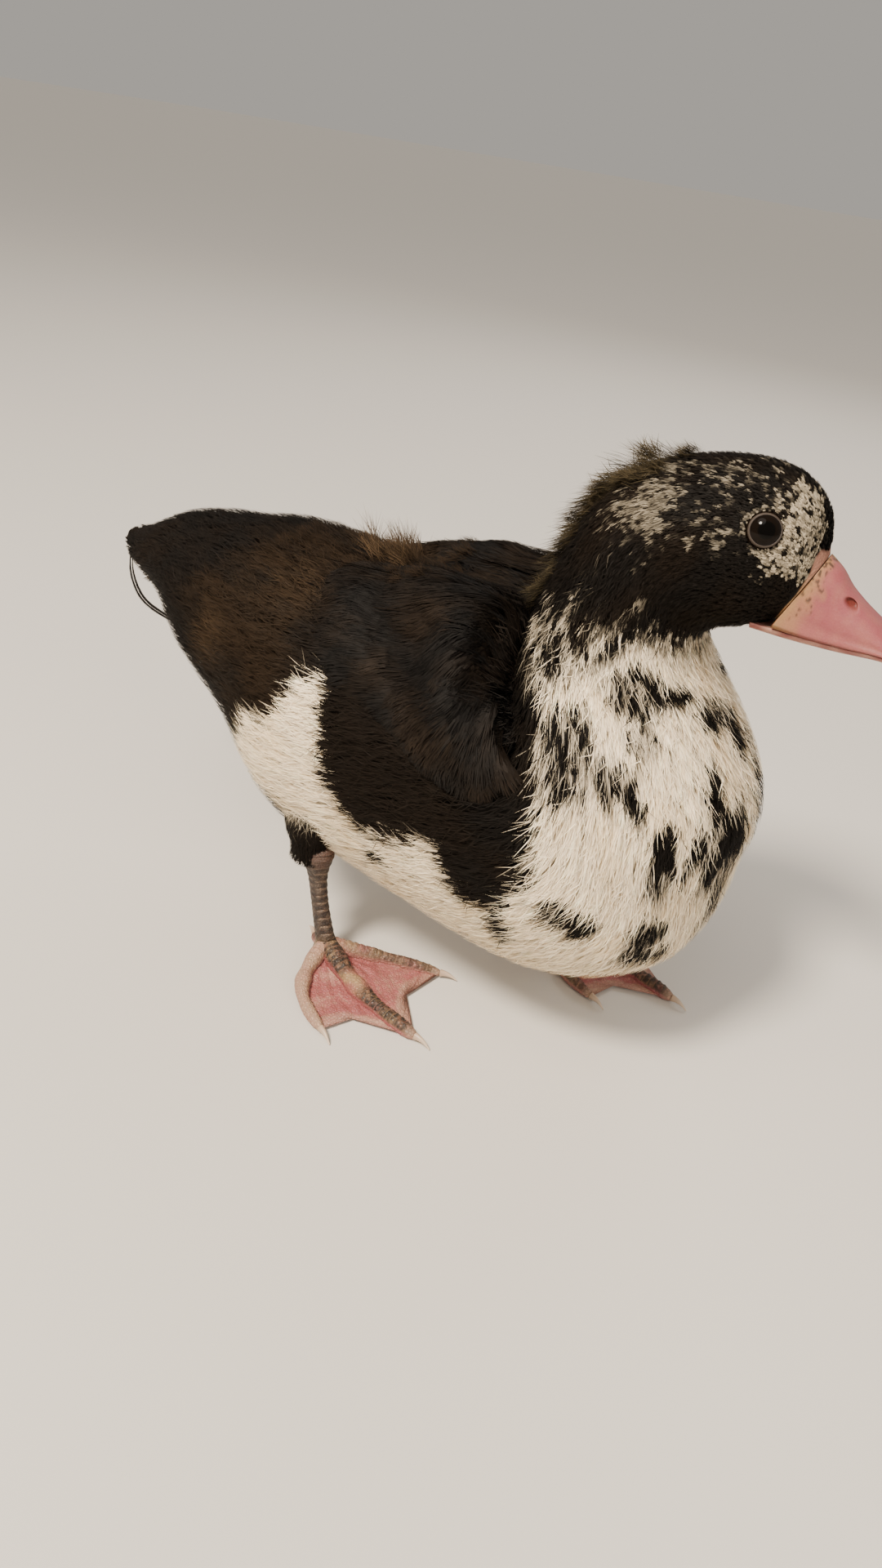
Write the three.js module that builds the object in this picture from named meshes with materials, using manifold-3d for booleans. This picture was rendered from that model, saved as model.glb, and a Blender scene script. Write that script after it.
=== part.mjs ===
// A young muscovy duck of about six weeks, standing in mid-step with its neck drawn in and its head
// turned a little to its left. Lengths are millimetres. +X is forward, +Y the bird's left, +Z up.
// The origin is on the floor under the middle of the bird's outline.
import * as THREE from "three";
import { ParametricGeometry } from "three/addons/geometries/ParametricGeometry.js";
import { mergeVertices } from "three/addons/utils/BufferGeometryUtils.js";
import Module from "manifold-3d";

const wasm = await Module();
wasm.setup();

// Clearance between neighbouring pieces.
const gap = 0.3;
const degree = Math.PI / 180;

// Sections of the body from the tail root to the bill, each in a plane that leans with the spine.
// x, z: where the spine is. lean: how far the section's front faces up. up, down, side: half sizes.
// square: how boxy the underside is. y, turn: sideways place and turn, for the head.
const sections = [
  { x: -152, y: 0, z: 122, lean: 0, turn: 0, up: 10, down: 12, side: 20, square: 2.0 },
  { x: -132, y: 0, z: 119, lean: 0, turn: 0, up: 24, down: 27, side: 35, square: 2.0 },
  { x: -105, y: 0, z: 113, lean: 0, turn: 0, up: 36, down: 41, side: 46, square: 2.1 },
  { x: -72, y: 0, z: 107, lean: 0, turn: 0, up: 44, down: 55, side: 54, square: 2.3 },
  { x: -36, y: 0, z: 101, lean: 1, turn: 0, up: 51, down: 67, side: 59, square: 2.4 },
  { x: 2, y: 0, z: 97, lean: 8, turn: 0, up: 55, down: 71, side: 61, square: 2.4 },
  { x: 32, y: 0, z: 96, lean: 22, turn: 0, up: 57, down: 73, side: 61, square: 2.4 },
  { x: 50, y: 0, z: 104, lean: 38, turn: 0, up: 57, down: 70, side: 59, square: 2.3 },
  { x: 54, y: 0, z: 120, lean: 51, turn: 0, up: 50, down: 60, side: 54, square: 2.2 },
  { x: 51, y: 0, z: 134, lean: 60, turn: 0, up: 43, down: 60, side: 48, square: 2.1 },
  { x: 46, y: 0, z: 148, lean: 69, turn: 2, up: 35, down: 46, side: 38, square: 2.0 },
  { x: 43, y: 0, z: 166, lean: 64, turn: 5, up: 28, down: 33, side: 31, square: 2.0 },
  { x: 48, y: 0, z: 184, lean: 44, turn: 7, up: 28, down: 32, side: 27, square: 2.0 },
  { x: 63, y: 0.5, z: 194, lean: 18, turn: 8, up: 25, down: 31, side: 25, square: 2.0 },
  { x: 80, y: 2.6, z: 193, lean: 2, turn: 8, up: 25, down: 24, side: 20.5, square: 2.4 },
  { x: 89, y: 3.8, z: 190, lean: -12, turn: 8, up: 20, down: 19, side: 15.5, square: 2.8 },
  { x: 94.2, y: 4.5, z: 185.5, lean: -22.6, turn: 8, up: 12.4, down: 12.4, side: 11.4, square: 2.6 },
];
const bodySides = 32;
const bodyRings = 40;

// Planes that part the body: each keeps the same height along its own tilted normal.
const tailPlane = { normal: [1, 0, 0], at: -116 };
const neckPlane = { normal: [0.153, 0, 0.988], at: 153.6 };
const headPlane = { normal: [0.353, 0, 0.936], at: 171.1 };

// The head's own frame: its origin is where the ridge of the bill leaves the forehead.
const head = { x: 98, y: 5, z: 196, turn: 8 };
// An eye sits on the head's side, at a place counted in sections and an angle from the crown.
const eye = { radius: 6, place: 14.12, round: 65, sunk: 4.3 };
const lid = { ring: 4.9, thick: 1, lift: -0.35 };
const bill = { rootForward: -3.8, rootDrop: -10.5, rootLean: 22.6, length: 45.5, halfWidth: 10.4 };
const nostril = { forward: 11.2, drop: -10.2, long: 2.6, high: 1.3 };

// Legs. The toe joint of each foot, the way its middle toe points, and the top of the bare shank.
// spread: angle from the middle toe, inwards. bow: how far a toe's middle bends out of line, inwards.
const legs = {
  right: {
    sign: -1,
    joint: [-29, -47],
    heading: -13.6,
    shankTop: [-38, -48, 43],
    toes: [
      { name: "inner", spread: 43, length: 46, bow: 2, knuckles: 2 },
      { name: "middle", spread: 0, length: 55, bow: -3, knuckles: 3 },
      { name: "outer", spread: -39, length: 42, bow: -8, knuckles: 3 },
    ],
  },
  left: {
    sign: 1,
    joint: [34, 34],
    heading: -4.9,
    shankTop: [24, 37, 31],
    toes: [
      { name: "inner", spread: 38, length: 40, bow: 7, knuckles: 2 },
      { name: "middle", spread: 0, length: 55, bow: -1, knuckles: 3 },
      { name: "outer", spread: -37, length: 43, bow: -6, knuckles: 3 },
    ],
  },
};
const shank = { cutAt: 9, bottom: 4.6, top: 4.3, scutes: 8, plate: 0.55 };
const toe = { root: 4.2, tip: 2.5, rise: 4.6 };
const web = { thick: 1.2, reach: 0.98, scoop: 0.17 };
const hindToe = { length: 13, back: 162, root: 2.8, tip: 2.1, height: 8 };
const claw = { length: 9.5, radius: 1.9, sides: 6 };
const thigh = { bottom: 7.5, top: 18, height: 32 };

// Wings. A wing is a low pad on the trunk's flank under feathers in tiers. Its chart runs along x and
// round the trunk, where round is an angle from the top of the back.
const trunk = { z: 98, up: 55, side: 60.5, taper: 0.000066, middleX: 8 };
const wing = { x: -9, round: 41, tilt: 0.2, halfLength: 50, halfHeight: 32, thick: 8.5 };
const vane = { thick: 1.5, sunk: 2.6, lift: 2.1, sides: 4 };

// Tiers of wing feathers, from the front edge to the flight feathers. at: where the roots stand, as a
// share of the wing's half length. reach: how much of the wing's height the tier fills.
const wingTiers = [
  { count: 4, length: 26, width: 17, at: 0.86, reach: 0.62 },
  { count: 5, length: 27, width: 16, at: 0.5, reach: 0.84 },
  { count: 6, length: 28, width: 14, at: 0.12, reach: 0.95 },
  { count: 7, length: 34, width: 12, at: -0.26, reach: 0.96 },
];

// Tail. Feathers fan out from a root inside the rump and droop towards the sides.
const tail = { rootX: -128, rootZ: 124, fan: 28, droop: 10 };
const tailTiers = [
  { name: "quills", count: 9, length: 55, width: 14, start: 0, drop: -2, rise: -3 },
  { name: "upper", count: 6, length: 42, width: 17, start: -2, drop: 7, rise: -6 },
  { name: "top", count: 5, length: 30, width: 18, start: -4, drop: 14, rise: -6 },
  { name: "under", count: 5, length: 38, width: 18, start: 4, drop: -13, rise: 4 },
];

const looks = {
  blackFeather: { color: 0x1c1814, roughness: 0.75 },
  whiteFeather: { color: 0xded2bd, roughness: 0.8 },
  headFeather: { color: 0x2a241f, roughness: 0.8 },
  billSkin: { color: 0xd9969a, roughness: 0.45 },
  eyeBall: { color: 0x0b0807, roughness: 0.08 },
  legScale: { color: 0x3a2f29, roughness: 0.5 },
  webSkin: { color: 0xc8787a, roughness: 0.5 },
  clawHorn: { color: 0xd8c3a8, roughness: 0.4 },
};

// A value between two others, t from 0 to 1.
const mix = (a, b, t) => a + (b - a) * t;

// A signed power, which keeps the sign of its base.
const power = (value, exponent) => Math.sign(value) * Math.abs(value) ** exponent;

// A closed solid from a three.js geometry, whose seams and poles are merged first.
function solid(geometry) {
  const bare = geometry.clone();
  bare.deleteAttribute("normal");
  bare.deleteAttribute("uv");
  const merged = mergeVertices(bare, 1e-3);
  const position = merged.attributes.position.array;
  const corner = (i) => new THREE.Vector3().fromArray(position, 3 * i);
  const index = merged.index.array;
  const triangles = [];
  let volume = 0;
  for (let i = 0; i < index.length; i += 3) {
    const [a, b, c] = [index[i], index[i + 1], index[i + 2]];
    if (a === b || b === c || c === a) continue;
    triangles.push(a, b, c);
    volume += corner(a).dot(corner(b).cross(corner(c)));
  }
  if (volume < 0) triangles.reverse();
  return new wasm.Manifold(
    new wasm.Mesh({
      numProp: 3,
      vertProperties: new Float32Array(position),
      triVerts: new Uint32Array(triangles),
    }),
  );
}

// A skin carried along a path. point(u, t) gives it: u from 0 to 1 goes round, t from 0 to 1 goes
// along. Each end is closed on the middle of its ring, or on its own given point.
function tube(point, around, along, startPoint, endPoint) {
  const ringMiddle = (t) => {
    const sum = new THREE.Vector3();
    for (let i = 0; i < around; i += 1) sum.add(point(i / around, t));
    return sum.divideScalar(around);
  };
  const start = startPoint ?? ringMiddle(0);
  const end = endPoint ?? ringMiddle(1);
  const last = along + 2;
  return new ParametricGeometry(
    (u, v, target) => {
      const row = Math.round(v * last);
      if (row === 0) target.copy(start);
      else if (row === last) target.copy(end);
      else target.copy(point(u % 1, (row - 1) / along));
    },
    around,
    last,
  );
}

// Catmull-Rom blending of the sections, at a place counted in sections from the tail.
function sectionAt(place) {
  const last = sections.length - 1;
  const i = Math.min(Math.floor(place), last - 1);
  const t = place - i;
  const blended = {};
  for (const key of Object.keys(sections[0])) {
    const value = (n) => {
      if (n < 0) return 2 * sections[0][key] - sections[1][key];
      if (n > last) return 2 * sections[last][key] - sections[last - 1][key];
      return sections[n][key];
    };
    const [a, b, c, d] = [value(i - 1), value(i), value(i + 1), value(i + 2)];
    blended[key] =
      0.5 * (2 * b + (c - a) * t + (2 * a - 5 * b + 4 * c - d) * t * t + (3 * b - a - 3 * c + d) * t ** 3);
  }
  return blended;
}

// A point of the body's outline. round is an angle from the back, towards the bird's left.
function bodyPoint(place, round, grow = 0) {
  const s = sectionAt(place);
  const [lean, turn] = [s.lean * degree, s.turn * degree];
  const back = new THREE.Vector3(-Math.sin(lean) * Math.cos(turn), -Math.sin(lean) * Math.sin(turn), Math.cos(lean));
  const left = new THREE.Vector3(-Math.sin(turn), Math.cos(turn), 0);
  const [c, si] = [Math.cos(round), Math.sin(round)];
  const exponent = 2 / (c > 0 ? 2 : s.square);
  const rise = power(c, exponent) * ((c > 0 ? s.up : s.down) + grow);
  const reach = power(si, exponent) * (s.side + grow);
  return new THREE.Vector3(s.x, s.y, s.z).addScaledVector(back, rise).addScaledVector(left, reach);
}

// The whole body from tail root to bill, grown outwards by a clearance.
function wholeBody(grow = 0) {
  const last = sections.length - 1;
  return solid(tube((u, t) => bodyPoint(t * last, 2 * Math.PI * u, grow), bodySides, bodyRings));
}

// What lies in front of or above a plane, or behind or below it, half a gap away from it.
const beyond = (shape, plane) => shape.trimByPlane(plane.normal, plane.at + gap / 2);
const before = (shape, plane) => shape.trimByPlane(plane.normal.map((n) => -n), gap / 2 - plane.at);

// A point given in the head's own frame: forward, left, up.
function headPoint(forward, left, up) {
  const turn = head.turn * degree;
  return new THREE.Vector3(
    head.x + forward * Math.cos(turn) - left * Math.sin(turn),
    head.y + forward * Math.sin(turn) + left * Math.cos(turn),
    head.z + up,
  );
}

// A direction given in the head's own frame.
const headDirection = (forward, left, up) => headPoint(forward, left, up).sub(headPoint(0, 0, 0)).normalize();

// A rounded blob with its own half sizes, set where its z axis follows a direction.
function blob(centre, direction, halfSizes, around, rings) {
  const turned = new THREE.Quaternion().setFromUnitVectors(new THREE.Vector3(0, 0, 1), direction);
  const geometry = new THREE.SphereGeometry(1, around, rings);
  geometry.rotateX(Math.PI / 2);
  geometry.scale(...halfSizes);
  geometry.applyQuaternion(turned);
  return solid(geometry.translate(centre.x, centre.y, centre.z));
}

// The point of the head's side under an eye's middle, and the way out of the head there.
function eyeSeat(sign) {
  const [step, round] = [0.01, sign * eye.round * degree];
  const onward = bodyPoint(eye.place + step, round).sub(bodyPoint(eye.place - step, round));
  const around = bodyPoint(eye.place, round + step).sub(bodyPoint(eye.place, round - step));
  return { point: bodyPoint(eye.place, round), out: onward.cross(around).normalize() };
}

function eyeBall(sign, grow = 0) {
  const { point, out } = eyeSeat(sign);
  return blob(point.addScaledVector(out, -eye.sunk), out, Array(3).fill(eye.radius + grow), 14, 8);
}

// The ring of both lids round an eye.
function lidRing(sign) {
  const { point, out } = eyeSeat(sign);
  const turned = new THREE.Quaternion().setFromUnitVectors(new THREE.Vector3(0, 0, 1), out);
  const ring = new THREE.TorusGeometry(lid.ring, lid.thick, 5, 14);
  ring.applyQuaternion(turned);
  const centre = point.addScaledVector(out, lid.lift);
  return solid(ring.translate(centre.x, centre.y, centre.z));
}

// Heights and half width of the bill at a share t of its length, in the head's frame.
const ridge = new THREE.SplineCurve(
  [[0.8, 0.6], [5.5, -2.6], [10.5, -7.6], [20.5, -14.3], [30, -19.3], [37, -22.4], [41.5, -25.6]].map(
    (p) => new THREE.Vector2(...p),
  ),
);
const mouthLine = new THREE.SplineCurve(
  [[-8.6, -21.9], [0, -22.5], [12, -22.4], [24, -21.9], [33, -23], [38.5, -25.4], [41.2, -27.2]].map(
    (p) => new THREE.Vector2(...p),
  ),
);
const billWidth = (t) => {
  const round = Math.sqrt(Math.max(0, 1 - Math.max(0, (t - 0.62) / 0.39) ** 2));
  return bill.halfWidth * (1.07 - 0.46 * t + 0.3 * t * t) * mix(0.12, 1, round);
};

// Upper bill: an arched roof over a flat palate. Its rings lie closer towards the rounded tip.
function upperBill() {
  const ring = (u, evenly) => {
    const t = 1 - (1 - evenly) ** 1.5;
    const top = ridge.getPoint(t);
    const edge = mouthLine.getPoint(t);
    const angle = 2 * Math.PI * u;
    const width = billWidth(t) * power(Math.cos(angle), 0.8);
    const arch = Math.max(0, Math.sin(angle)) ** mix(0.85, 1.15, t);
    const palate = Math.min(0, Math.sin(angle)) * -0.7 * (1 - t);
    const share = angle < Math.PI ? arch : 0;
    return headPoint(mix(edge.x, top.x, share) + gap, width, mix(edge.y, top.y, share) + palate);
  };
  let shape = solid(tube(ring, 18, 10));
  for (const sign of [1, -1]) {
    const centre = headPoint(nostril.forward, sign * 5.6, nostril.drop);
    const along = headDirection(0.55, 0, -0.35);
    shape = shape.subtract(blob(centre, along, [nostril.high, 1.9, nostril.long], 8, 6));
  }
  const nail = blob(headPoint(39, 0, -24.3), headDirection(0.8, 0, -0.55), [1.3, 2.9, 4], 10, 6);
  return shape.add(nail);
}

// Lower bill: a thin trough under the upper one, running back under the cheeks.
function lowerBill() {
  const ring = (u, t) => {
    const edge = mouthLine.getPoint(mix(0, 0.93, t));
    const angle = 2 * Math.PI * u;
    const width = (billWidth(mix(0, 0.93, t)) - 0.9) * power(Math.cos(angle), 0.8);
    const depth = mix(3.6, 1.7, t);
    const drop = Math.min(0, Math.sin(angle)) * depth;
    const back = mix(-6, 0, Math.min(1, t * 3));
    return headPoint(edge.x + back, width, edge.y - 0.45 + drop);
  };
  return solid(tube(ring, 16, 9));
}

// A point of the wing's chart: x along the trunk, round an angle from the back, out its height.
function flankPoint(sign, x, round, out) {
  const shrink = 1 - trunk.taper * (x - trunk.middleX) ** 2;
  const reach = trunk.side * shrink + out;
  const rise = trunk.up * shrink + out;
  return new THREE.Vector3(x, sign * reach * Math.sin(round * degree), trunk.z + rise * Math.cos(round * degree));
}

// How far the wing's pad stands over the trunk, at shares of its half length and half height.
const padHeight = (a, b) => wing.thick * Math.sqrt(Math.max(0, 1 - a * a - b * b));

// A point over the wing's pad, at shares of its half length and half height.
function wingPoint(sign, a, b, out) {
  const x = wing.x + wing.halfLength * a;
  const arc = (wing.halfHeight * b) / trunk.side / degree;
  return flankPoint(sign, x, wing.round + wing.tilt * (x - wing.x) + arc, out);
}

// One feather: a tapering vane, lens shaped across, laid by a function of along, across and height.
function feather(place, length, width, thick, sides = vane.sides) {
  const outline = [0.4, 0.92, 1, 0.62];
  const along = outline.length - 1;
  const reach = [0, 0.34, 0.7, 0.93];
  const ring = (u, t) => {
    const row = Math.round(t * along);
    const angle = 2 * Math.PI * u;
    const across = Math.cos(angle) * outline[row] * width * 0.5;
    const height = power(Math.sin(angle), 0.8) * thick * 0.5 * mix(1, 0.6, t);
    const crown = -0.35 * Math.abs(Math.cos(angle)) ** 2 * thick;
    return place(reach[row] * length, across, height + crown);
  };
  return solid(tube(ring, sides, along, undefined, place(length, 0, -0.35 * thick)));
}

// A pad for the folded wing, with its underside well inside the trunk.
function wingPad(sign) {
  const pad = (u, t) => {
    const [angle, polar] = [2 * Math.PI * u, Math.PI * mix(0.06, 0.94, t)];
    const a = 0.94 * Math.sin(polar) * Math.cos(angle);
    const b = 0.94 * Math.sin(polar) * Math.sin(angle);
    return wingPoint(sign, a, b, polar < Math.PI / 2 ? padHeight(a, b) - 1.5 : -7);
  };
  return solid(tube(pad, 16, 6));
}

// A wing: pad and tiers. Every feather starts sunk in the pad and ends lifted over the next tier.
function wingShape(sign) {
  const pieces = [wingPad(sign)];
  wingTiers.forEach((tier, row) => {
    for (let i = 0; i < tier.count; i += 1) {
      const share = (2 * (i + 0.25 + 0.5 * (row % 2))) / tier.count - 1;
      const rootB = share * tier.reach * Math.sqrt(1 - tier.at ** 2 * 0.8);
      const rootA = tier.at * (1 - 0.2 * rootB ** 2) + 0.1 * rootB;
      const slope = (7 + 9 * share) * degree;
      const place = (along, across, height) => {
        const back = along * Math.cos(slope) + across * Math.sin(slope);
        const down = along * Math.sin(slope) - across * Math.cos(slope);
        const a = rootA - back / wing.halfLength;
        const b = rootB + down / wing.halfHeight;
        const part = along / tier.length;
        const lie = mix(-vane.sunk, vane.lift, 1 - (1 - part) ** 1.6);
        return wingPoint(sign, a, b, padHeight(a, b) - 1 + lie + height);
      };
      pieces.push(feather(place, tier.length, tier.width, vane.thick));
    }
  });
  return wasm.Manifold.union(pieces);
}

// The tail: tiers of feathers in a drooping fan. The layers above and below it are shorter.
function tailFeathers() {
  const pieces = [];
  for (const tier of tailTiers) {
    for (let i = 0; i < tier.count; i += 1) {
      const share = (2 * i) / (tier.count - 1) - 1;
      const fan = share * tail.fan * degree * (tier.name === "quills" ? 1 : 0.9);
      const root = new THREE.Vector3(tail.rootX + tier.start, 17 * share, tail.rootZ + tier.drop - 6 * share ** 2);
      const length = tier.length * (1 - 0.42 * share ** 2) * (1 + 0.03 * Math.sin(7 * i));
      const tilt = share * 42 * degree;
      const place = (a, b, h) => {
        const out = a * Math.cos(fan) - b * Math.sin(fan) * Math.cos(tilt);
        const aside = a * Math.sin(fan) + b * Math.cos(fan) * Math.cos(tilt);
        const part = a / length;
        const drop = tier.rise * part - tail.droop * share ** 2 * part - b * Math.sin(tilt);
        const lap = 0.5 * (i % 2);
        return new THREE.Vector3(root.x - out, root.y + aside + h * Math.sin(tilt), root.z + drop + h + lap);
      };
      pieces.push(feather(place, length, tier.width, vane.thick * 1.15));
    }
  }
  return wasm.Manifold.union(pieces);
}

// A tapering limb between two points, with its bottom never under the floor.
function limb(points, radii, around, along) {
  const path = new THREE.CatmullRomCurve3(points.map((p) => new THREE.Vector3(...p)));
  const ring = (u, t) => {
    const centre = path.getPoint(t);
    const forward = path.getTangent(t);
    const level = new THREE.Vector3(-forward.y, forward.x, 0).normalize();
    const rise = new THREE.Vector3().crossVectors(forward, level);
    const radius = radii(t);
    const angle = 2 * Math.PI * u;
    centre.addScaledVector(level, radius * Math.cos(angle));
    centre.addScaledVector(rise, radius * Math.sin(angle));
    centre.z = Math.max(0, centre.z);
    return centre;
  };
  return solid(tube(ring, around, along));
}

// A small plate raised on a leg or toe, square to a direction and facing along another.
function scute(centre, facing, along, sizes) {
  const side = new THREE.Vector3().crossVectors(along, facing).normalize();
  const upright = new THREE.Vector3().crossVectors(facing, side).normalize();
  const box = new THREE.BoxGeometry(...sizes);
  box.applyMatrix4(new THREE.Matrix4().makeBasis(side, upright, facing.clone().normalize()).setPosition(centre));
  return solid(box);
}

// Where a toe's axis is at a share t of its length, over the floor.
function toeAxis(leg, spec, t) {
  const angle = (leg.heading + leg.sign * -spec.spread) * degree;
  const radius = mix(toe.root, toe.tip, t);
  const [x, y] = leg.joint;
  const aside = -leg.sign * spec.bow * Math.sin(Math.PI * t);
  return new THREE.Vector3(
    x + spec.length * t * Math.cos(angle) - aside * Math.sin(angle),
    y + spec.length * t * Math.sin(angle) + aside * Math.cos(angle),
    radius - 0.35 + toe.rise * (1 - t) ** 4,
  );
}

// A web between two toes: a thin skin that hangs in a curve at its front edge.
function webSkin(leg, first, second) {
  const ring = (u, t) => {
    const share = u < 0.5 ? 2 * u : 2 - 2 * u;
    const reach = t * (web.reach - web.scoop * Math.sin(Math.PI * share) * t);
    const a = toeAxis(leg, first, reach);
    const b = toeAxis(leg, second, reach);
    const point = a.lerp(b, share);
    const sag = Math.sin(Math.PI * share) * 0.9;
    point.z = Math.max(0.25, point.z - sag - 0.9);
    point.z += u > 0.5 ? 0 : web.thick * Math.max(0.45, Math.sin(Math.PI * share));
    return point;
  };
  return solid(tube(ring, 10, 4));
}

// The hind toe's path, backwards and a little inwards from the joint.
function hindAxis(leg, t) {
  const angle = (leg.heading + leg.sign * -hindToe.back) * degree;
  const [x, y] = leg.joint;
  return new THREE.Vector3(
    x + hindToe.length * t * Math.cos(angle),
    y + hindToe.length * t * Math.sin(angle),
    mix(hindToe.height, hindToe.tip - 0.2, 1 - (1 - t) ** 2),
  );
}

// A foot: three toes with their webs, the hind toe, the swollen joint and the plates on the toes.
function footShape(leg) {
  const pieces = [];
  for (const spec of leg.toes) {
    const points = [0, 0.2, 0.45, 0.7, 1].map((t) => toeAxis(leg, spec, t).toArray());
    const radii = (t) =>
      mix(toe.root, toe.tip, t) * (1 + 0.1 * Math.sin(Math.PI * (2 * spec.knuckles * t - 0.5)) * (1 - 0.3 * t));
    pieces.push(limb(points, radii, 8, 6));
    const plates = Math.round(spec.length / 8);
    for (let i = 1; i < plates; i += 1) {
      const t = (i + 0.3) / plates;
      const centre = toeAxis(leg, spec, t);
      const along = toeAxis(leg, spec, Math.min(1, t + 0.05)).sub(toeAxis(leg, spec, t)).normalize();
      const radius = mix(toe.root, toe.tip, t);
      centre.z += radius * 0.86;
      pieces.push(scute(centre, new THREE.Vector3(0, 0, 1), along, [radius * 1.15, 4.2, 1.1]));
    }
  }
  for (const i of [0, 1]) pieces.push(webSkin(leg, leg.toes[i], leg.toes[i + 1]));
  const hind = [0, 0.25, 0.5, 0.8, 1].map((t) => hindAxis(leg, t).toArray());
  pieces.push(limb(hind, (t) => mix(hindToe.root, hindToe.tip, t), 8, 4));
  const joint = new THREE.Vector3(...leg.joint, 5);
  pieces.push(blob(joint, new THREE.Vector3(0, 0, 1), [5.2, 5.2, 5.6], 10, 6));
  const shape = wasm.Manifold.union(pieces);
  return shape.trimByPlane([0, 0, -1], -shank.cutAt).trimByPlane([0, 0, 1], 0);
}

// A claw: a curved, tapering horn that starts where its toe ends.
function clawShape(tip, direction) {
  const side = new THREE.Vector3(-direction.y, direction.x, 0).normalize();
  const at = (t) => {
    const point = tip.clone().addScaledVector(direction, 2 * gap + claw.length * t);
    point.z = Math.max(0.3, tip.z + 0.5 * Math.sin(Math.PI * t) - (tip.z - 0.5) * t * t);
    return point;
  };
  const ring = (u, t) => {
    const radius = claw.radius * (1 - 0.8 * t);
    const angle = 2 * Math.PI * u;
    const point = at(0.86 * t).addScaledVector(side, 0.8 * radius * Math.cos(angle));
    point.z = Math.max(0.05, point.z + radius * Math.sin(angle));
    return point;
  };
  return solid(tube(ring, claw.sides, 4, undefined, at(1)));
}

// A bare shank with its ladder of plates down the front.
function shankShape(leg) {
  const [x, y] = leg.joint;
  const [topX, topY, topZ] = leg.shankTop;
  const bottom = new THREE.Vector3(x, y, 6);
  const top = new THREE.Vector3(topX, topY, topZ + 6);
  const middlePoint = bottom.clone().lerp(top, 0.5);
  middlePoint.x -= 1.2;
  const radii = (t) => mix(shank.bottom, shank.top, t) * (1 - 0.2 * Math.sin(Math.PI * t));
  const path = [bottom, middlePoint, top].map((p) => p.toArray());
  const pieces = [limb(path, radii, 10, 6)];
  const curve = new THREE.CatmullRomCurve3([bottom, middlePoint, top]);
  const heading = leg.heading * degree;
  const facing = new THREE.Vector3(Math.cos(heading), Math.sin(heading), 0);
  for (let i = 0; i < shank.scutes; i += 1) {
    const t = mix(0.16, 0.84, i / (shank.scutes - 1));
    const along = curve.getTangent(t);
    const front = facing.clone().addScaledVector(along, -facing.dot(along)).normalize();
    const centre = curve.getPoint(t).addScaledVector(front, radii(t) - 0.5);
    pieces.push(scute(centre, front, along, [4.2, 3.2, 1 + 2 * shank.plate]));
  }
  const shape = wasm.Manifold.union(pieces);
  return shape.trimByPlane([0, 0, 1], shank.cutAt + gap).trimByPlane([0, 0, -1], -topZ);
}

// The feathered top of a leg, from the shank up into the flank.
function thighShape(leg) {
  const [x, y, z] = leg.shankTop;
  const path = [
    [x, y, z + gap],
    [x, y * 0.93, z + thigh.height * 0.4],
    [x + 3, y * 0.75, z + thigh.height],
  ];
  const cone = limb(path, (t) => mix(thigh.bottom, thigh.top, t ** 0.8), 16, 6);
  return cone.trimByPlane([0, 0, 1], z + gap);
}

// A named mesh of a solid's largest closed piece.
function piece(name, shape, look) {
  const parts = shape.decompose().sort((a, b) => b.volume() - a.volume());
  const { vertProperties, triVerts } = parts[0].getMesh();
  const geometry = new THREE.BufferGeometry();
  geometry.setAttribute("position", new THREE.BufferAttribute(vertProperties, 3));
  geometry.setIndex(new THREE.BufferAttribute(triVerts, 1));
  geometry.computeVertexNormals();
  const mesh = new THREE.Mesh(geometry, new THREE.MeshStandardMaterial({ metalness: 0, ...looks[look] }));
  mesh.name = name;
  return mesh;
}

const duck = new THREE.Group();
const body = wholeBody();
const roomy = wholeBody(gap);

// Head, neck and torso are one form parted by thin cuts.
let skull = beyond(body, headPlane);
for (const sign of [1, -1]) skull = skull.add(lidRing(sign)).subtract(eyeBall(sign, gap));
const torso = before(beyond(body, tailPlane), neckPlane);
duck.add(piece("torso", torso, "whiteFeather"));
duck.add(piece("neck", before(beyond(body, neckPlane), headPlane), "headFeather"));
duck.add(piece("head", skull, "headFeather"));
duck.add(piece("bill_upper", upperBill().subtract(roomy), "billSkin"));
duck.add(piece("bill_lower", lowerBill().subtract(roomy).subtract(upperBill()), "billSkin"));

// The tail grows from the rump's end, and its feathers stay clear of the torso.
const roomyTorso = before(roomy.trimByPlane(tailPlane.normal, tailPlane.at - gap / 2), neckPlane);
const rump = before(body, tailPlane);
duck.add(piece("tail", rump.add(tailFeathers()).subtract(roomyTorso), "blackFeather"));

for (const [sideName, leg] of Object.entries(legs)) {
  const { sign } = leg;
  duck.add(piece(`eye_${sideName}`, eyeBall(sign), "eyeBall"));
  duck.add(piece(`wing_${sideName}`, wingShape(sign).subtract(roomy), "blackFeather"));
  duck.add(piece(`thigh_${sideName}`, thighShape(leg).subtract(roomy), "blackFeather"));
  duck.add(piece(`shank_${sideName}`, shankShape(leg).subtract(roomy), "legScale"));
  duck.add(piece(`foot_${sideName}`, footShape(leg), "webSkin"));
  for (const spec of leg.toes) {
    const tip = toeAxis(leg, spec, 1);
    const direction = tip.clone().sub(toeAxis(leg, spec, 0.9)).setZ(0).normalize();
    duck.add(piece(`claw_${spec.name}_${sideName}`, clawShape(tip, direction), "clawHorn"));
  }
  const hindTip = hindAxis(leg, 1);
  const hindDirection = hindTip.clone().sub(hindAxis(leg, 0.9)).setZ(0).normalize();
  duck.add(piece(`claw_hind_${sideName}`, clawShape(hindTip, hindDirection), "clawHorn"));
}

// The origin moves to the floor under the middle of the outline.
const outline = new THREE.Box3().setFromObject(duck);
const middle = outline.getCenter(new THREE.Vector3());
duck.position.set(-middle.x, -middle.y, -outline.min.z);

export default duck;
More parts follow.
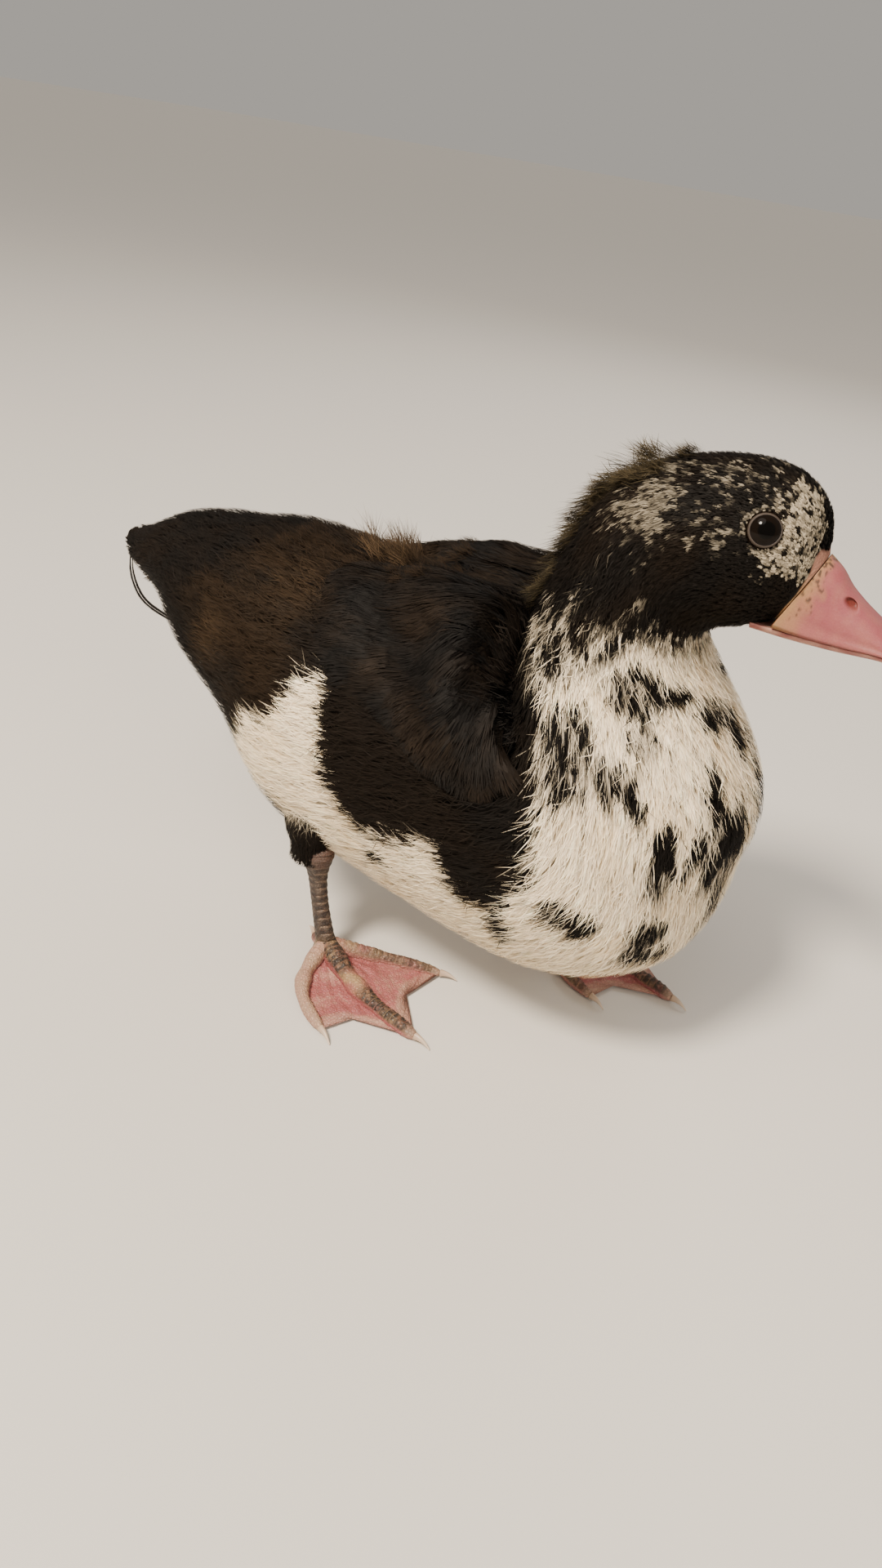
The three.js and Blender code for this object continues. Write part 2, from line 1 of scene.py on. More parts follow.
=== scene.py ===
# A young muscovy duck as a still, life-size figure: skin, coat of small feathers and down, wings, tail,
# bill, eyes and webbed feet. Shapes are worked out in millimetres in the bird's own frame (+X forward,
# +Y its left, floor at z = 0) and are moved into the CAD frame when they become meshes.
from math import cos, pi, radians, sin

import bpy
import numpy as np
from mathutils import Matrix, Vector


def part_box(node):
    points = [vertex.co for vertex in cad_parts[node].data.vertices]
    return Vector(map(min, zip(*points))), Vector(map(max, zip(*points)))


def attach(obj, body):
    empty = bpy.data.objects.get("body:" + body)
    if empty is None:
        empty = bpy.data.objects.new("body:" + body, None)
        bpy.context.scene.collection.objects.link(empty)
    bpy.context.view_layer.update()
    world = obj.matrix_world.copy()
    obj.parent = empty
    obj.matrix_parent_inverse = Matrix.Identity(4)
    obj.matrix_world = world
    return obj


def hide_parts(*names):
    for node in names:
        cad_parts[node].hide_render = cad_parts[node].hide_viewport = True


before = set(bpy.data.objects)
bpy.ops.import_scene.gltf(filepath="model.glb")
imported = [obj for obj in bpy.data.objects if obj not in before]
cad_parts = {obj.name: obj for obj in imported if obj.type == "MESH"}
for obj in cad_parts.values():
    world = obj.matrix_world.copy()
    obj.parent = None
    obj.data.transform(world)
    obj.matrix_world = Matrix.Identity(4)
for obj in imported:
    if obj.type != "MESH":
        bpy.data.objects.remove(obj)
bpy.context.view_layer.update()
dice = np.random.default_rng(20)
print("frame loaded:", len(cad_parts), "nodes")

# where the bird's own frame lies in the CAD frame: the torso starts 0.15 mm ahead of x = -116
torsoLow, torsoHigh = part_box("torso")
shift = np.array([torsoLow[0] * 1000 + 115.85, (torsoLow[1] + torsoHigh[1]) * 500, 0.0])


# small tools
def mix(a, b, t):
    return a + (b - a) * t


def blend(first, second, share):
    # mixes colours or points, with one share for each, held between 0 and 1
    return mix(np.asarray(first), np.asarray(second), np.clip(share, 0, 1)[..., None])


def ramp(low, high, value):
    # eased step from 0 at low to 1 at high
    t = np.clip((value - low) / (high - low), 0, 1)
    return t * t * (3 - 2 * t)


def power(value, exponent):
    # power that keeps the sign
    return np.sign(value) * np.abs(value) ** exponent


def unit(vectors):
    return vectors / np.maximum(np.linalg.norm(vectors, axis=-1, keepdims=True), 1e-9)


def spline(a, b, c, d, t):
    # Catmull-Rom: from b at t = 0 to c at t = 1
    return 0.5 * (2 * b + (c - a) * t + (2 * a - 5 * b + 4 * c - d) * t**2 + (3 * b - a - 3 * c + d) * t**3)


def waves(points, size, seed):
    # soft noise with spread about 1: twenty sine waves in seeded directions, wavelength about size
    source = np.random.default_rng(seed)
    total = np.zeros(points.shape[:-1])
    for step in range(20):
        direction = unit(source.normal(size=3)) * 2 * pi / (size * source.uniform(0.7, 1.5))
        total += np.sin(points @ direction + source.uniform(0, 2 * pi))
    return total / np.sqrt(10)


def strands(place, angle, seed):
    # noise drawn out along the lie of the feathers, about 10 mm by 1.5 mm
    return waves(np.stack([place * 5.5, angle * 52, 0 * place], -1), 3.0, seed)


def bell(points, centre, radius):
    # 1 at the centre, falling as a Gaussian
    return np.exp(-((points - np.array(centre)) ** 2).sum(-1) / radius**2)


def fromBack(angle):
    # degrees from the back or crown, the same on both sides
    return np.degrees(np.abs(angle))


def sideOf(angle):
    # 1 on the bird's left, -1 on its right
    return np.where(angle >= 0, 1.0, -1.0)


def wound(along, columns):
    # grid of places along a tube by angles round it
    return np.meshgrid(along, np.linspace(0, 2 * pi, columns, endpoint=False), indexing="ij")


def rings(centre, level, rise, wide, high):
    # tube round a line of centres: centre + level * wide + rise * high
    return centre[:, None] + level[:, None] * wide[..., None] + rise[:, None] * high[..., None]


def intoScene(name, data):
    thing = bpy.data.objects.new(name, data)
    bpy.context.scene.collection.objects.link(thing)
    return thing


def meshFrom(name, points, faces, finish, colour, uv=None):
    # a smooth object from arrays: points in mm, triangles, colour and uv of each point
    faces = np.asarray(faces, dtype=np.int32)
    mesh = bpy.data.meshes.new(name)
    mesh.vertices.add(len(points))
    mesh.vertices.foreach_set("co", ((points + shift) * 0.001).astype(np.float32).ravel())
    mesh.loops.add(faces.size)
    mesh.loops.foreach_set("vertex_index", faces.ravel())
    mesh.polygons.add(len(faces))
    mesh.polygons.foreach_set("loop_start", np.arange(0, faces.size, 3, dtype=np.int32))
    mesh.update(calc_edges=True)
    mesh.polygons.foreach_set("use_smooth", np.ones(len(faces), dtype=bool))
    rgba = np.ones((len(points), 4), dtype=np.float32)
    rgba[:, :3] = colour
    mesh.attributes.new("plumage", "FLOAT_COLOR", "POINT").data.foreach_set("color", rgba.ravel())
    if uv is not None:
        bakeMap = mesh.uv_layers.new(name="OFBake")
        bakeMap.data.foreach_set("uv", uv[faces.ravel()].astype(np.float32).ravel())
    mesh.materials.append(finish.material)
    piece = intoScene(name, mesh)
    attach(piece, "root")
    return piece


def gridTriangles(rows, columns):
    # outward where rows run along and columns go round from the top to the left
    i, j = np.meshgrid(np.arange(rows - 1), np.arange(columns), indexing="ij")
    k = (j + 1) % columns
    a, b, c, d = (corner.ravel() for corner in
                  (i * columns + j, (i + 1) * columns + j, (i + 1) * columns + k, i * columns + k))
    return np.concatenate([np.stack([a, b, c], 1), np.stack([a, c, d], 1)])


def closedTube(grid):
    # a tube whose ends are drawn in to their middle: its points, its triangles and each point's spot in the grid
    rows, columns = len(grid) + 2, grid.shape[1]
    start, end = (np.repeat(ring.mean(1, keepdims=True), columns, 1) for ring in (grid[:1], grid[-1:]))
    points = np.concatenate([start, grid, end]).reshape(-1, 3)
    faces = gridTriangles(rows, columns)
    row = faces // columns
    faces = faces[((row == 0).sum(1) < 2) & ((row == rows - 1).sum(1) < 2)]  # the others have no area
    last = (rows - 1) * columns
    faces = np.where(faces < columns, 0, np.where(faces >= last, last, faces))
    used, faces = np.unique(faces, return_inverse=True)
    spots = np.clip(used // columns - 1, 0, len(grid) - 1) * columns + used % columns
    return points[used], faces.reshape(-1, 3), spots


def outward(points, faces):
    # turns triangles round if they enclose a negative volume
    a, b, c = (points[faces[:, k]] for k in range(3))
    return faces if (a * np.cross(b, c)).sum() > 0 else faces[:, ::-1]


# shader maths: a wrapped socket with operators, and one call for any node
class Wire:
    def __init__(self, tree, socket):
        self.tree, self.socket = tree, socket

    def maths(self, operation, *values):
        node = self.tree.nodes.new("ShaderNodeMath")
        node.operation = operation
        for place, value in enumerate(values):
            feed(self.tree, node.inputs[place], value)
        return Wire(self.tree, node.outputs[0])

    def __add__(self, other):
        return self.maths("ADD", self, other)

    def __mul__(self, other):
        return self.maths("MULTIPLY", self, other)

    def __rsub__(self, other):
        return self.maths("SUBTRACT", other, self)

    __radd__, __rmul__ = __add__, __mul__


def feed(tree, socket, value):
    if isinstance(value, Wire):
        tree.links.new(value.socket, socket)
    else:
        socket.default_value = value


class Finish:
    # a material with its shader at hand
    def __init__(self, name, **fixed):
        self.material = bpy.data.materials.new(name)
        self.material.use_nodes = True
        self.tree = self.material.node_tree
        self.shader = self.tree.nodes["Principled BSDF"]
        self.coords = self.node("ShaderNodeTexCoord", {}, out="Object")
        for socket, value in fixed.items():
            feed(self.tree, self.shader.inputs[socket.replace("_", " ")], value)

    def node(self, kind, settings, out=0, **sockets):
        # any node: its type, its settings, then its sockets' values or links; n0 is the first socket
        node = self.tree.nodes.new(kind)
        for name, value in settings.items():
            setattr(node, name, value)
        for name, value in sockets.items():
            key = int(name[1:]) if name[0] == "n" and name[1:].isdigit() else name.replace("_", " ")
            feed(self.tree, node.inputs[key], value)
        return Wire(self.tree, node.outputs[out])

    def put(self, socket, value):
        feed(self.tree, self.shader.inputs[socket], value)

    def noise(self, scale, detail=3.0):
        return self.node("ShaderNodeTexNoise", {}, Vector=self.coords, Scale=scale, Detail=detail)

    def paint(self, share=None, over=None, way="SOFT_LIGHT"):
        # the colours stored with the points, with a share of something else over them
        tint = self.node("ShaderNodeAttribute", {"attribute_name": "plumage"}, out="Color")
        if share is not None:
            settings = {"data_type": "RGBA", "blend_type": way}
            tint = self.node("ShaderNodeMix", settings, out=2, n0=share, n6=tint, n7=over)
        self.put("Base Color", tint)

    def bump(self, height, strength, distance):
        self.put("Normal", self.node("ShaderNodeBump", {}, Height=height, Strength=strength, Distance=distance))


# the body: sections from the tail root to the bill, in planes that lean with the spine
# x, y, z of the spine, lean and turn of the section, its half sizes up, down and sideways, squareness below
firstPlace = -3  # the three sections before place 0 are the tail
sections = np.array([
    [-187, 0, 121.5, 0, 0, 1.0, 1.5, 4, 2.0],
    [-181, 0, 119.5, 0, 0, 4.5, 5, 12, 2.0],
    [-169, 0, 119, 0, 0, 11.5, 11, 20, 2.0],
    [-152, 0, 120, 0, 0, 20, 17, 27, 2.0],
    [-132, 0, 119, 0, 0, 24, 27, 35, 2.0],
    [-105, 0, 113, 0, 0, 36, 41, 46, 2.1],
    [-72, 0, 107, 0, 0, 44, 55, 54, 2.3],
    [-36, 0, 101, 1, 0, 51, 67, 59, 2.4],
    [2, 0, 97, 8, 0, 55, 71, 61, 2.4],
    [32, 0, 96, 22, 0, 57, 73, 61, 2.4],
    [50, 0, 104, 38, 0, 57, 70, 59, 2.3],
    [54, 0, 120, 51, 0, 50, 60, 54, 2.2],
    [51, 0, 134, 60, 0, 43, 60, 48, 2.1],
    [46, 0, 148, 69, 2, 35, 46, 38, 2.0],
    [43, 0, 166, 64, 5, 28, 33, 31, 2.0],
    [48, 0, 184, 44, 7, 26.6, 32, 27, 2.0],
    [63, 0.5, 194, 18, 8, 24, 31, 25, 2.0],
    [80, 2.6, 193, 2, 8, 26.6, 24, 20.5, 2.4],
    [89, 3.8, 190, -12, 8, 22.4, 19, 15.5, 2.8],
    [94.2, 4.5, 185.5, -22.6, 8, 12.4, 12.4, 11.4, 2.6],
])
paddedSections = np.vstack([2 * sections[0] - sections[1], sections, 2 * sections[-1] - sections[-2]])
lastPlace = len(sections) - 1 + firstPlace


def bodyPoint(place, angle, grow=0.0):
    # a spline through the sections, then a superellipse: middle + back * cos + left * sin
    place, angle = np.asarray(place), np.asarray(angle)
    first = np.clip(np.floor(place - firstPlace).astype(int), 0, len(sections) - 2)
    t = (place - firstPlace - first)[..., None]
    blended = spline(*(paddedSections[first + k] for k in range(4)), t)
    x, y, z, lean, turn, up, down, side, square = np.moveaxis(blended, -1, 0)
    lean, turn = np.radians(lean), np.radians(turn)
    back = np.stack([-np.sin(lean) * np.cos(turn), -np.sin(lean) * np.sin(turn), np.cos(lean)], -1)
    left = np.stack([-np.sin(turn), np.cos(turn), 0 * turn], -1)
    high = np.cos(angle)
    exponent = 2 / np.where(high > 0, 2.0, square)
    rise = power(high, exponent) * (np.where(high > 0, up, down) + grow)
    reach = power(np.sin(angle), exponent) * (side + grow)
    return np.stack([x, y, z], -1) + back * rise[..., None] + left * reach[..., None]


class Chart:
    # a surface on a grid of place by angle, which gives points, outward ways and scales between its knots
    def __init__(self, points, places, angles):
        self.points, self.places, self.angles = points, places, angles
        wrapped = np.concatenate([points[:, -2:-1], points, points[:, 1:2]], 1)
        along = np.gradient(points, places, axis=0)
        around = np.gradient(wrapped, angles[1] - angles[0], axis=1)[:, 1:-1]
        self.normals = unit(np.cross(along, around))
        self.lie = -unit(along)  # the way the feathers lie: backwards
        self.alongScale = np.maximum(np.linalg.norm(along, axis=-1), 0.5)
        self.aroundScale = np.maximum(np.linalg.norm(around, axis=-1), 0.5)

    def look(self, field, place, angle):
        # bilinear reading of a field on the grid
        row = np.clip((place - self.places[0]) / (self.places[1] - self.places[0]), 0, len(self.places) - 1.001)
        column = ((angle - self.angles[0]) / (self.angles[1] - self.angles[0])) % (len(self.angles) - 1)
        i, j = row.astype(int), column.astype(int)
        a, b = row - i, column - j
        if field.ndim == 3:
            a, b = a[..., None], b[..., None]
        top = field[i, j] * (1 - b) + field[i, j + 1] * b
        return top * (1 - a) + (field[i + 1, j] * (1 - b) + field[i + 1, j + 1] * b) * a

    def scales(self, place, angle):
        # mm per unit of place and per radian
        return self.look(self.alongScale, place, angle), self.look(self.aroundScale, place, angle)

    def point(self, place, angle, height):
        return self.look(self.points, place, angle) + self.look(self.normals, place, angle) * height[..., None]

    def step(self, place, angle, scales, turn, back, aside):
        # the spot so many mm backwards and aside, where a turn leads down on both sides of the bird
        side = sideOf(angle)
        p = place + (-back * np.cos(turn) + side * aside * np.sin(turn)) / scales[0]
        r = angle + (side * back * np.sin(turn) + aside * np.cos(turn)) / scales[1]
        return np.clip(p, self.places[0], self.places[-1]), r

    def scatter(self, count, density):
        # roots spread evenly by area times density: an additive sequence sent through the running sums
        weight = self.alongScale * self.aroundScale * density
        weight = (weight[1:, 1:] + weight[:-1, :-1]) / 2
        rowSums = np.cumsum(weight.sum(1))
        step = np.arange(count)
        u, v = (0.5 + 0.7548776662 * step) % 1, (0.5 + 0.5698402910 * step) % 1
        target = u * rowSums[-1]
        i = np.clip(np.searchsorted(rowSums, target), 0, len(rowSums) - 1)
        a = 1 - (rowSums[i] - target) / np.maximum(weight[i].sum(1), 1e-12)
        share = np.cumsum(weight, 1)
        share = share / np.maximum(share[:, -1:], 1e-12)
        flat = (share + np.arange(len(share))[:, None]).ravel()
        found = np.clip(np.searchsorted(flat, i + v * 0.999999), 0, flat.size - 1)
        j = found % weight.shape[1]
        before = np.where(j > 0, share[i, np.maximum(j - 1, 0)], 0)
        b = (v - before) / np.maximum(share[i, j] - before, 1e-12)
        place = self.places[0] + (i + np.clip(a, 0, 1)) * (self.places[1] - self.places[0])
        angle = self.angles[0] + (j + np.clip(b, 0, 1)) * (self.angles[1] - self.angles[0])
        return place, angle


# wings: raised parts of the flanks and shoulders, over which the wing feathers lie. Each edge of their outline
# is a pair of lists for np.interp: lower and front give degrees from the back by place, rear place by degrees
wing = {
    "height": 13.0, "edge": 6.5, "rearShare": 0.50, "spineShare": 0.25, "corners": 3.0, "swell": 1.6, "overhang": 9,
    "lower": ([3.2, 3.92, 4.7, 5.28, 5.8, 7.12, 7.5], [54, 58, 58, 67, 69, 67, 57]),
    "rear": ([0, 6, 15, 24, 42, 62, 70], [4.8, 4.5, 3.62, 3.52, 3.74, 4.02, 4.4]),
    "front": ([5.8, 6.3, 6.9, 7.25], [-20, 8, 40, 74]), "frontEnd": 7.3,
    "stepInset": 17, "stepHeight": 3.0, "stepEdge": 4.5, "stepWave": 3.5,
}


def wingInset(place, angle, along, around):
    # how far inside a wing's outline a spot of the chart lies, in mm, negative outside; its corners are rounded
    away = fromBack(angle)
    lower = np.radians(np.interp(place, *wing["lower"]) - away) * around
    rear = (place - np.interp(away, *wing["rear"])) * along
    front = np.radians(away - np.interp(place, *wing["front"])) * around
    front = np.where(place < wing["front"][0][0], 99.0, front)
    front = np.minimum(front, (wing["frontEnd"] - place) * along)
    soft = wing["corners"]
    return -soft * np.log(np.exp(-lower / soft) + np.exp(-rear / soft) + np.exp(-front / soft))


def wingRise(inset, away, place):
    # height of a wing over the trunk: it climbs from the outline, dips towards the spine and is lower at the rear
    climb = wing["height"] * (1 - np.exp(-np.maximum(inset, 0) / wing["edge"]))
    rear = mix(wing["rearShare"], 1.0, ramp(3.8, 5.7, place))
    return climb * mix(wing["spineShare"], 1.0, ramp(2, 22, away)) * rear


# fuller spots of the coat: place, degrees from the back, half reach in both, height in mm
fullness = [[3.4, 116, 0.7, 36, 7.5], [4.5, 22, 0.5, 15, 5.5], [5.65, 24, 0.8, 16, 7.5],
            [0.9, 12, 0.45, 30, 1.6], [1.35, 115, 0.7, 45, 3.5], [2.1, 12, 0.5, 26, 1.4]]
# depth of the coat over the skin, by place
skinLook = {"rows": 480, "columns": 321, "headDepth": 1.9,
            "depth": ([-3, -2, -1, 2, 9, 11, 12.5, 14, 15.3, 16], [0.8, 2.2, 4.0, 5.2, 5.2, 4.0, 2.4, 1.9, 1.2, 0.7])}
places = np.linspace(firstPlace, lastPlace, skinLook["rows"])
angles = np.linspace(-pi, pi, skinLook["columns"])
placeGrid, angleGrid = np.meshgrid(places, angles, indexing="ij")
awayGrid = fromBack(angleGrid)
coatDepth = np.interp(placeGrid, *skinLook["depth"])
skinGrid = bodyPoint(placeGrid, angleGrid, -coatDepth)
smoothBody = Chart(skinGrid, places, angles)
insetGrid = wingInset(placeGrid, angleGrid, smoothBody.alongScale, smoothBody.aroundScale)
filling = sum(high * np.exp(-((placeGrid - at) / long) ** 2 - ((awayGrid - turned) / wide) ** 2)
              for at, turned, long, wide, high in fullness)
filling = filling + wing["swell"] * ramp(0, 9, insetGrid) * waves(skinGrid, 30, 15)
# the shoulder feathers end in a step that runs some way inside the wing's outline
inside = np.maximum(insetGrid - wing["stepInset"] + wing["stepWave"] * waves(skinGrid, 26, 16), 0)
filling = filling + wing["stepHeight"] * (1 - np.exp(-inside / wing["stepEdge"])) * ramp(20, 42, awayGrid)
# the wing feathers' own chart keeps the height a little past the outline, so that their tips overhang
body, wingChart = (
    Chart(skinGrid + smoothBody.normals
          * (wingRise(insetGrid + past, awayGrid, placeGrid) + filling + lift)[..., None], places, angles)
    for past, lift in ((0, 0), (wing["overhang"], 1.0)))
print("skin worked out")

# markings, the same for skin and coat
hue = {name: np.array(value) for name, value in {
    "black": (0.0076, 0.0062, 0.0052), "blueBlack": (0.0064, 0.0057, 0.0053), "brownBlack": (0.0105, 0.0072, 0.0050),
    "brown": (0.021, 0.0130, 0.0073), "tan": (0.080, 0.050, 0.027), "white": (0.95, 0.81, 0.60),
    "cream": (0.50, 0.42, 0.30), "grey": (0.17, 0.145, 0.115), "olive": (0.075, 0.057, 0.030),
    "billRoot": (0.52, 0.31, 0.16), "overBill": (0.50, 0.25, 0.18),
}.items()}

# edges of the markings, as pairs of lists for np.interp
edges = {
    # lower edge of the dark upper parts: place, degrees from the back
    "dark": ([2.4, 2.75, 2.95, 3.1, 3.27, 3.6, 3.85, 4.02, 4.14, 4.25, 4.45, 4.6, 4.9, 5.2, 5.42, 5.55, 5.65, 5.8,
              5.98, 6.15, 6.35, 6.8, 7.2, 7.5, 7.85, 8.3, 8.9, 9.2, 9.6, 9.85, 10.2],
             [180, 160, 138, 112, 96, 92, 70, 64, 76, 98, 103, 107, 106, 102, 96, 95, 106, 112, 110, 118, 106, 100,
              92, 86, 80, 74, 72, 66, 56, 44, 34]),
    # upper edge of the dark below the flanks: place, degrees from the back
    "under": ([3.0, 3.3, 3.6, 3.8, 4.1], [130, 124, 122, 121, 130]),
    # starts of the black of the head and of the mottled collar below it: degrees from the nape, place
    "head": ([0, 45, 63, 84, 98, 107, 126, 163, 180], [10.2, 10.6, 10.85, 10.85, 10.98, 11.1, 11.45, 11.57, 11.6]),
    "collar": ([0, 45, 63, 84, 103, 118, 180], [9.3, 9.3, 9.45, 10.2, 10.75, 11.3, 11.6]),
    # where the feathers end on the bare skin round the bill: degrees from the crown, place
    "bare": ([0, 20, 36, 47, 60, 90, 112, 150, 180], [15.86, 15.8, 15.62, 15.62, 15.82, 15.95, 15.9, 15.9, 15.9]),
}

# dark marks on the breast: x, y, z, half length along the feathers, half width, strength
darkMarks = np.array([
    [70, -19, 149, 2.4, 5.6, 1.0], [62, -29, 151, 6.2, 6.6, 0.62], [79, -7, 143, 4.5, 4.5, 0.75],
    [85, 4, 137, 7.5, 3.8, 0.95], [69, -32, 139, 4.0, 5.0, 0.4], [68, -42, 129, 5.2, 5.8, 0.55],
    [49, -45, 139, 7.0, 6.5, 0.6], [54, -50, 129, 7.5, 8.0, 0.62], [92, -17, 124, 10.5, 2.5, 0.95],
    [101, -8, 110, 9.0, 4.6, 1.0], [101, -15, 105, 12.0, 4.2, 1.0], [98, 15, 113, 12.5, 5.2, 1.0],
    [103, -3, 95, 8.5, 4.4, 1.0], [100, -2, 79, 8.5, 4.6, 1.0], [96, -26, 107, 6.8, 2.3, 0.8],
    [88, -36, 112, 6.2, 3.0, 0.8], [89, -37, 101, 6.2, 4.0, 0.85], [91, -36, 77, 5.2, 5.6, 1.0],
    [90, -36, 66, 4.2, 4.4, 0.95], [95, -26, 65, 3.0, 4.0, 0.8], [68, -56, 81, 4.6, 4.4, 0.9],
    [75, -52, 79, 4.6, 3.8, 0.9], [99, -5, 69, 4.5, 3.2, 0.9], [-2, -56, 64, 3.6, 2.8, 0.75],
    [51, -55, 61, 3.2, 5.2, 0.9],
])
# pale marks on the head: place, degrees from the nape or crown, radius in mm, strength
paleMarks = np.array([
    [12.68, 23, 3.2, 0.80], [12.65, 40, 3.2, 0.90], [12.47, 38, 2.9, 0.90], [12.43, 52, 3.2, 0.90],
    [12.65, 56, 3.4, 0.90], [12.55, 64, 2.3, 0.60], [12.35, 66, 3.2, 1.00], [12.48, 69, 2.5, 0.80],
    [12.20, 44, 2.5, 0.50], [12.23, 57, 2.0, 0.50], [12.82, 48, 2.0, 0.40], [12.12, 30, 1.4, 0.40],
    [13.22, 36, 1.8, 0.60], [13.37, 27, 1.8, 0.60], [13.45, 36, 1.6, 0.50], [13.67, 30, 1.8, 0.45],
    [13.83, 30, 1.6, 0.40], [13.00, 19, 2.3, 0.40], [13.33, 45, 1.4, 0.40], [13.78, 1, 2.3, 0.25],
    [14.08, 2, 1.8, 0.25], [13.35, 76, 2.5, 0.55], [13.45, 82, 1.8, 0.50], [13.10, 67, 2.3, 0.45],
    [13.55, 71, 1.8, 0.50], [13.17, 78, 2.3, 0.40], [13.75, 66, 1.8, 0.90], [13.78, 60, 1.6, 0.90],
    [13.95, 54, 1.4, 0.80], [14.13, 50, 1.6, 0.90], [14.40, 55, 1.8, 1.00], [14.57, 62, 1.8, 1.00],
    [13.70, 74, 1.4, 0.70], [13.85, 80, 1.6, 0.60], [14.08, 78, 1.8, 0.90], [14.37, 75, 2.0, 1.00],
    [14.50, 23, 2.7, 1.00], [14.77, 21, 2.9, 1.00], [14.98, 28, 2.9, 1.10], [14.98, 40, 2.7, 1.10],
    [14.63, 40, 2.9, 1.00], [14.73, 52, 2.7, 1.10], [15.28, 28, 1.8, 1.00], [14.35, 20, 1.6, 0.80],
    [14.22, 39, 2.0, 0.70], [15.10, 56, 2.9, 1.20], [14.78, 65, 2.9, 1.20], [14.67, 76, 2.7, 1.10],
    [15.13, 68, 3.2, 1.20], [15.52, 56, 2.5, 1.20], [14.92, 80, 2.0, 0.90], [15.52, 72, 2.0, 0.90],
    [14.33, 82, 2.3, 0.90], [14.38, 89, 1.6, 0.60], [14.00, 84, 1.4, 0.50], [15.32, 40, 1.6, 1.00],
    [11.43, 66, 1.8, 0.60], [11.42, 81, 1.1, 0.30], [11.77, 106, 2.0, 0.60], [11.52, 102, 1.6, 0.50],
    [11.27, 102, 2.0, 0.60], [11.02, 70, 2.3, 0.60], [10.75, 68, 2.5, 0.60], [10.97, 91, 2.3, 0.70],
    [11.33, 90, 1.1, 0.30],
    [12.10, 45, 3.0, 0.40], [12.00, 58, 2.6, 0.35], [12.95, 35, 2.5, 0.45],
    [14.03, 95, 1.1, 0.35], [14.30, 94, 0.9, 0.30], [14.38, 115, 0.9, 0.30],
])


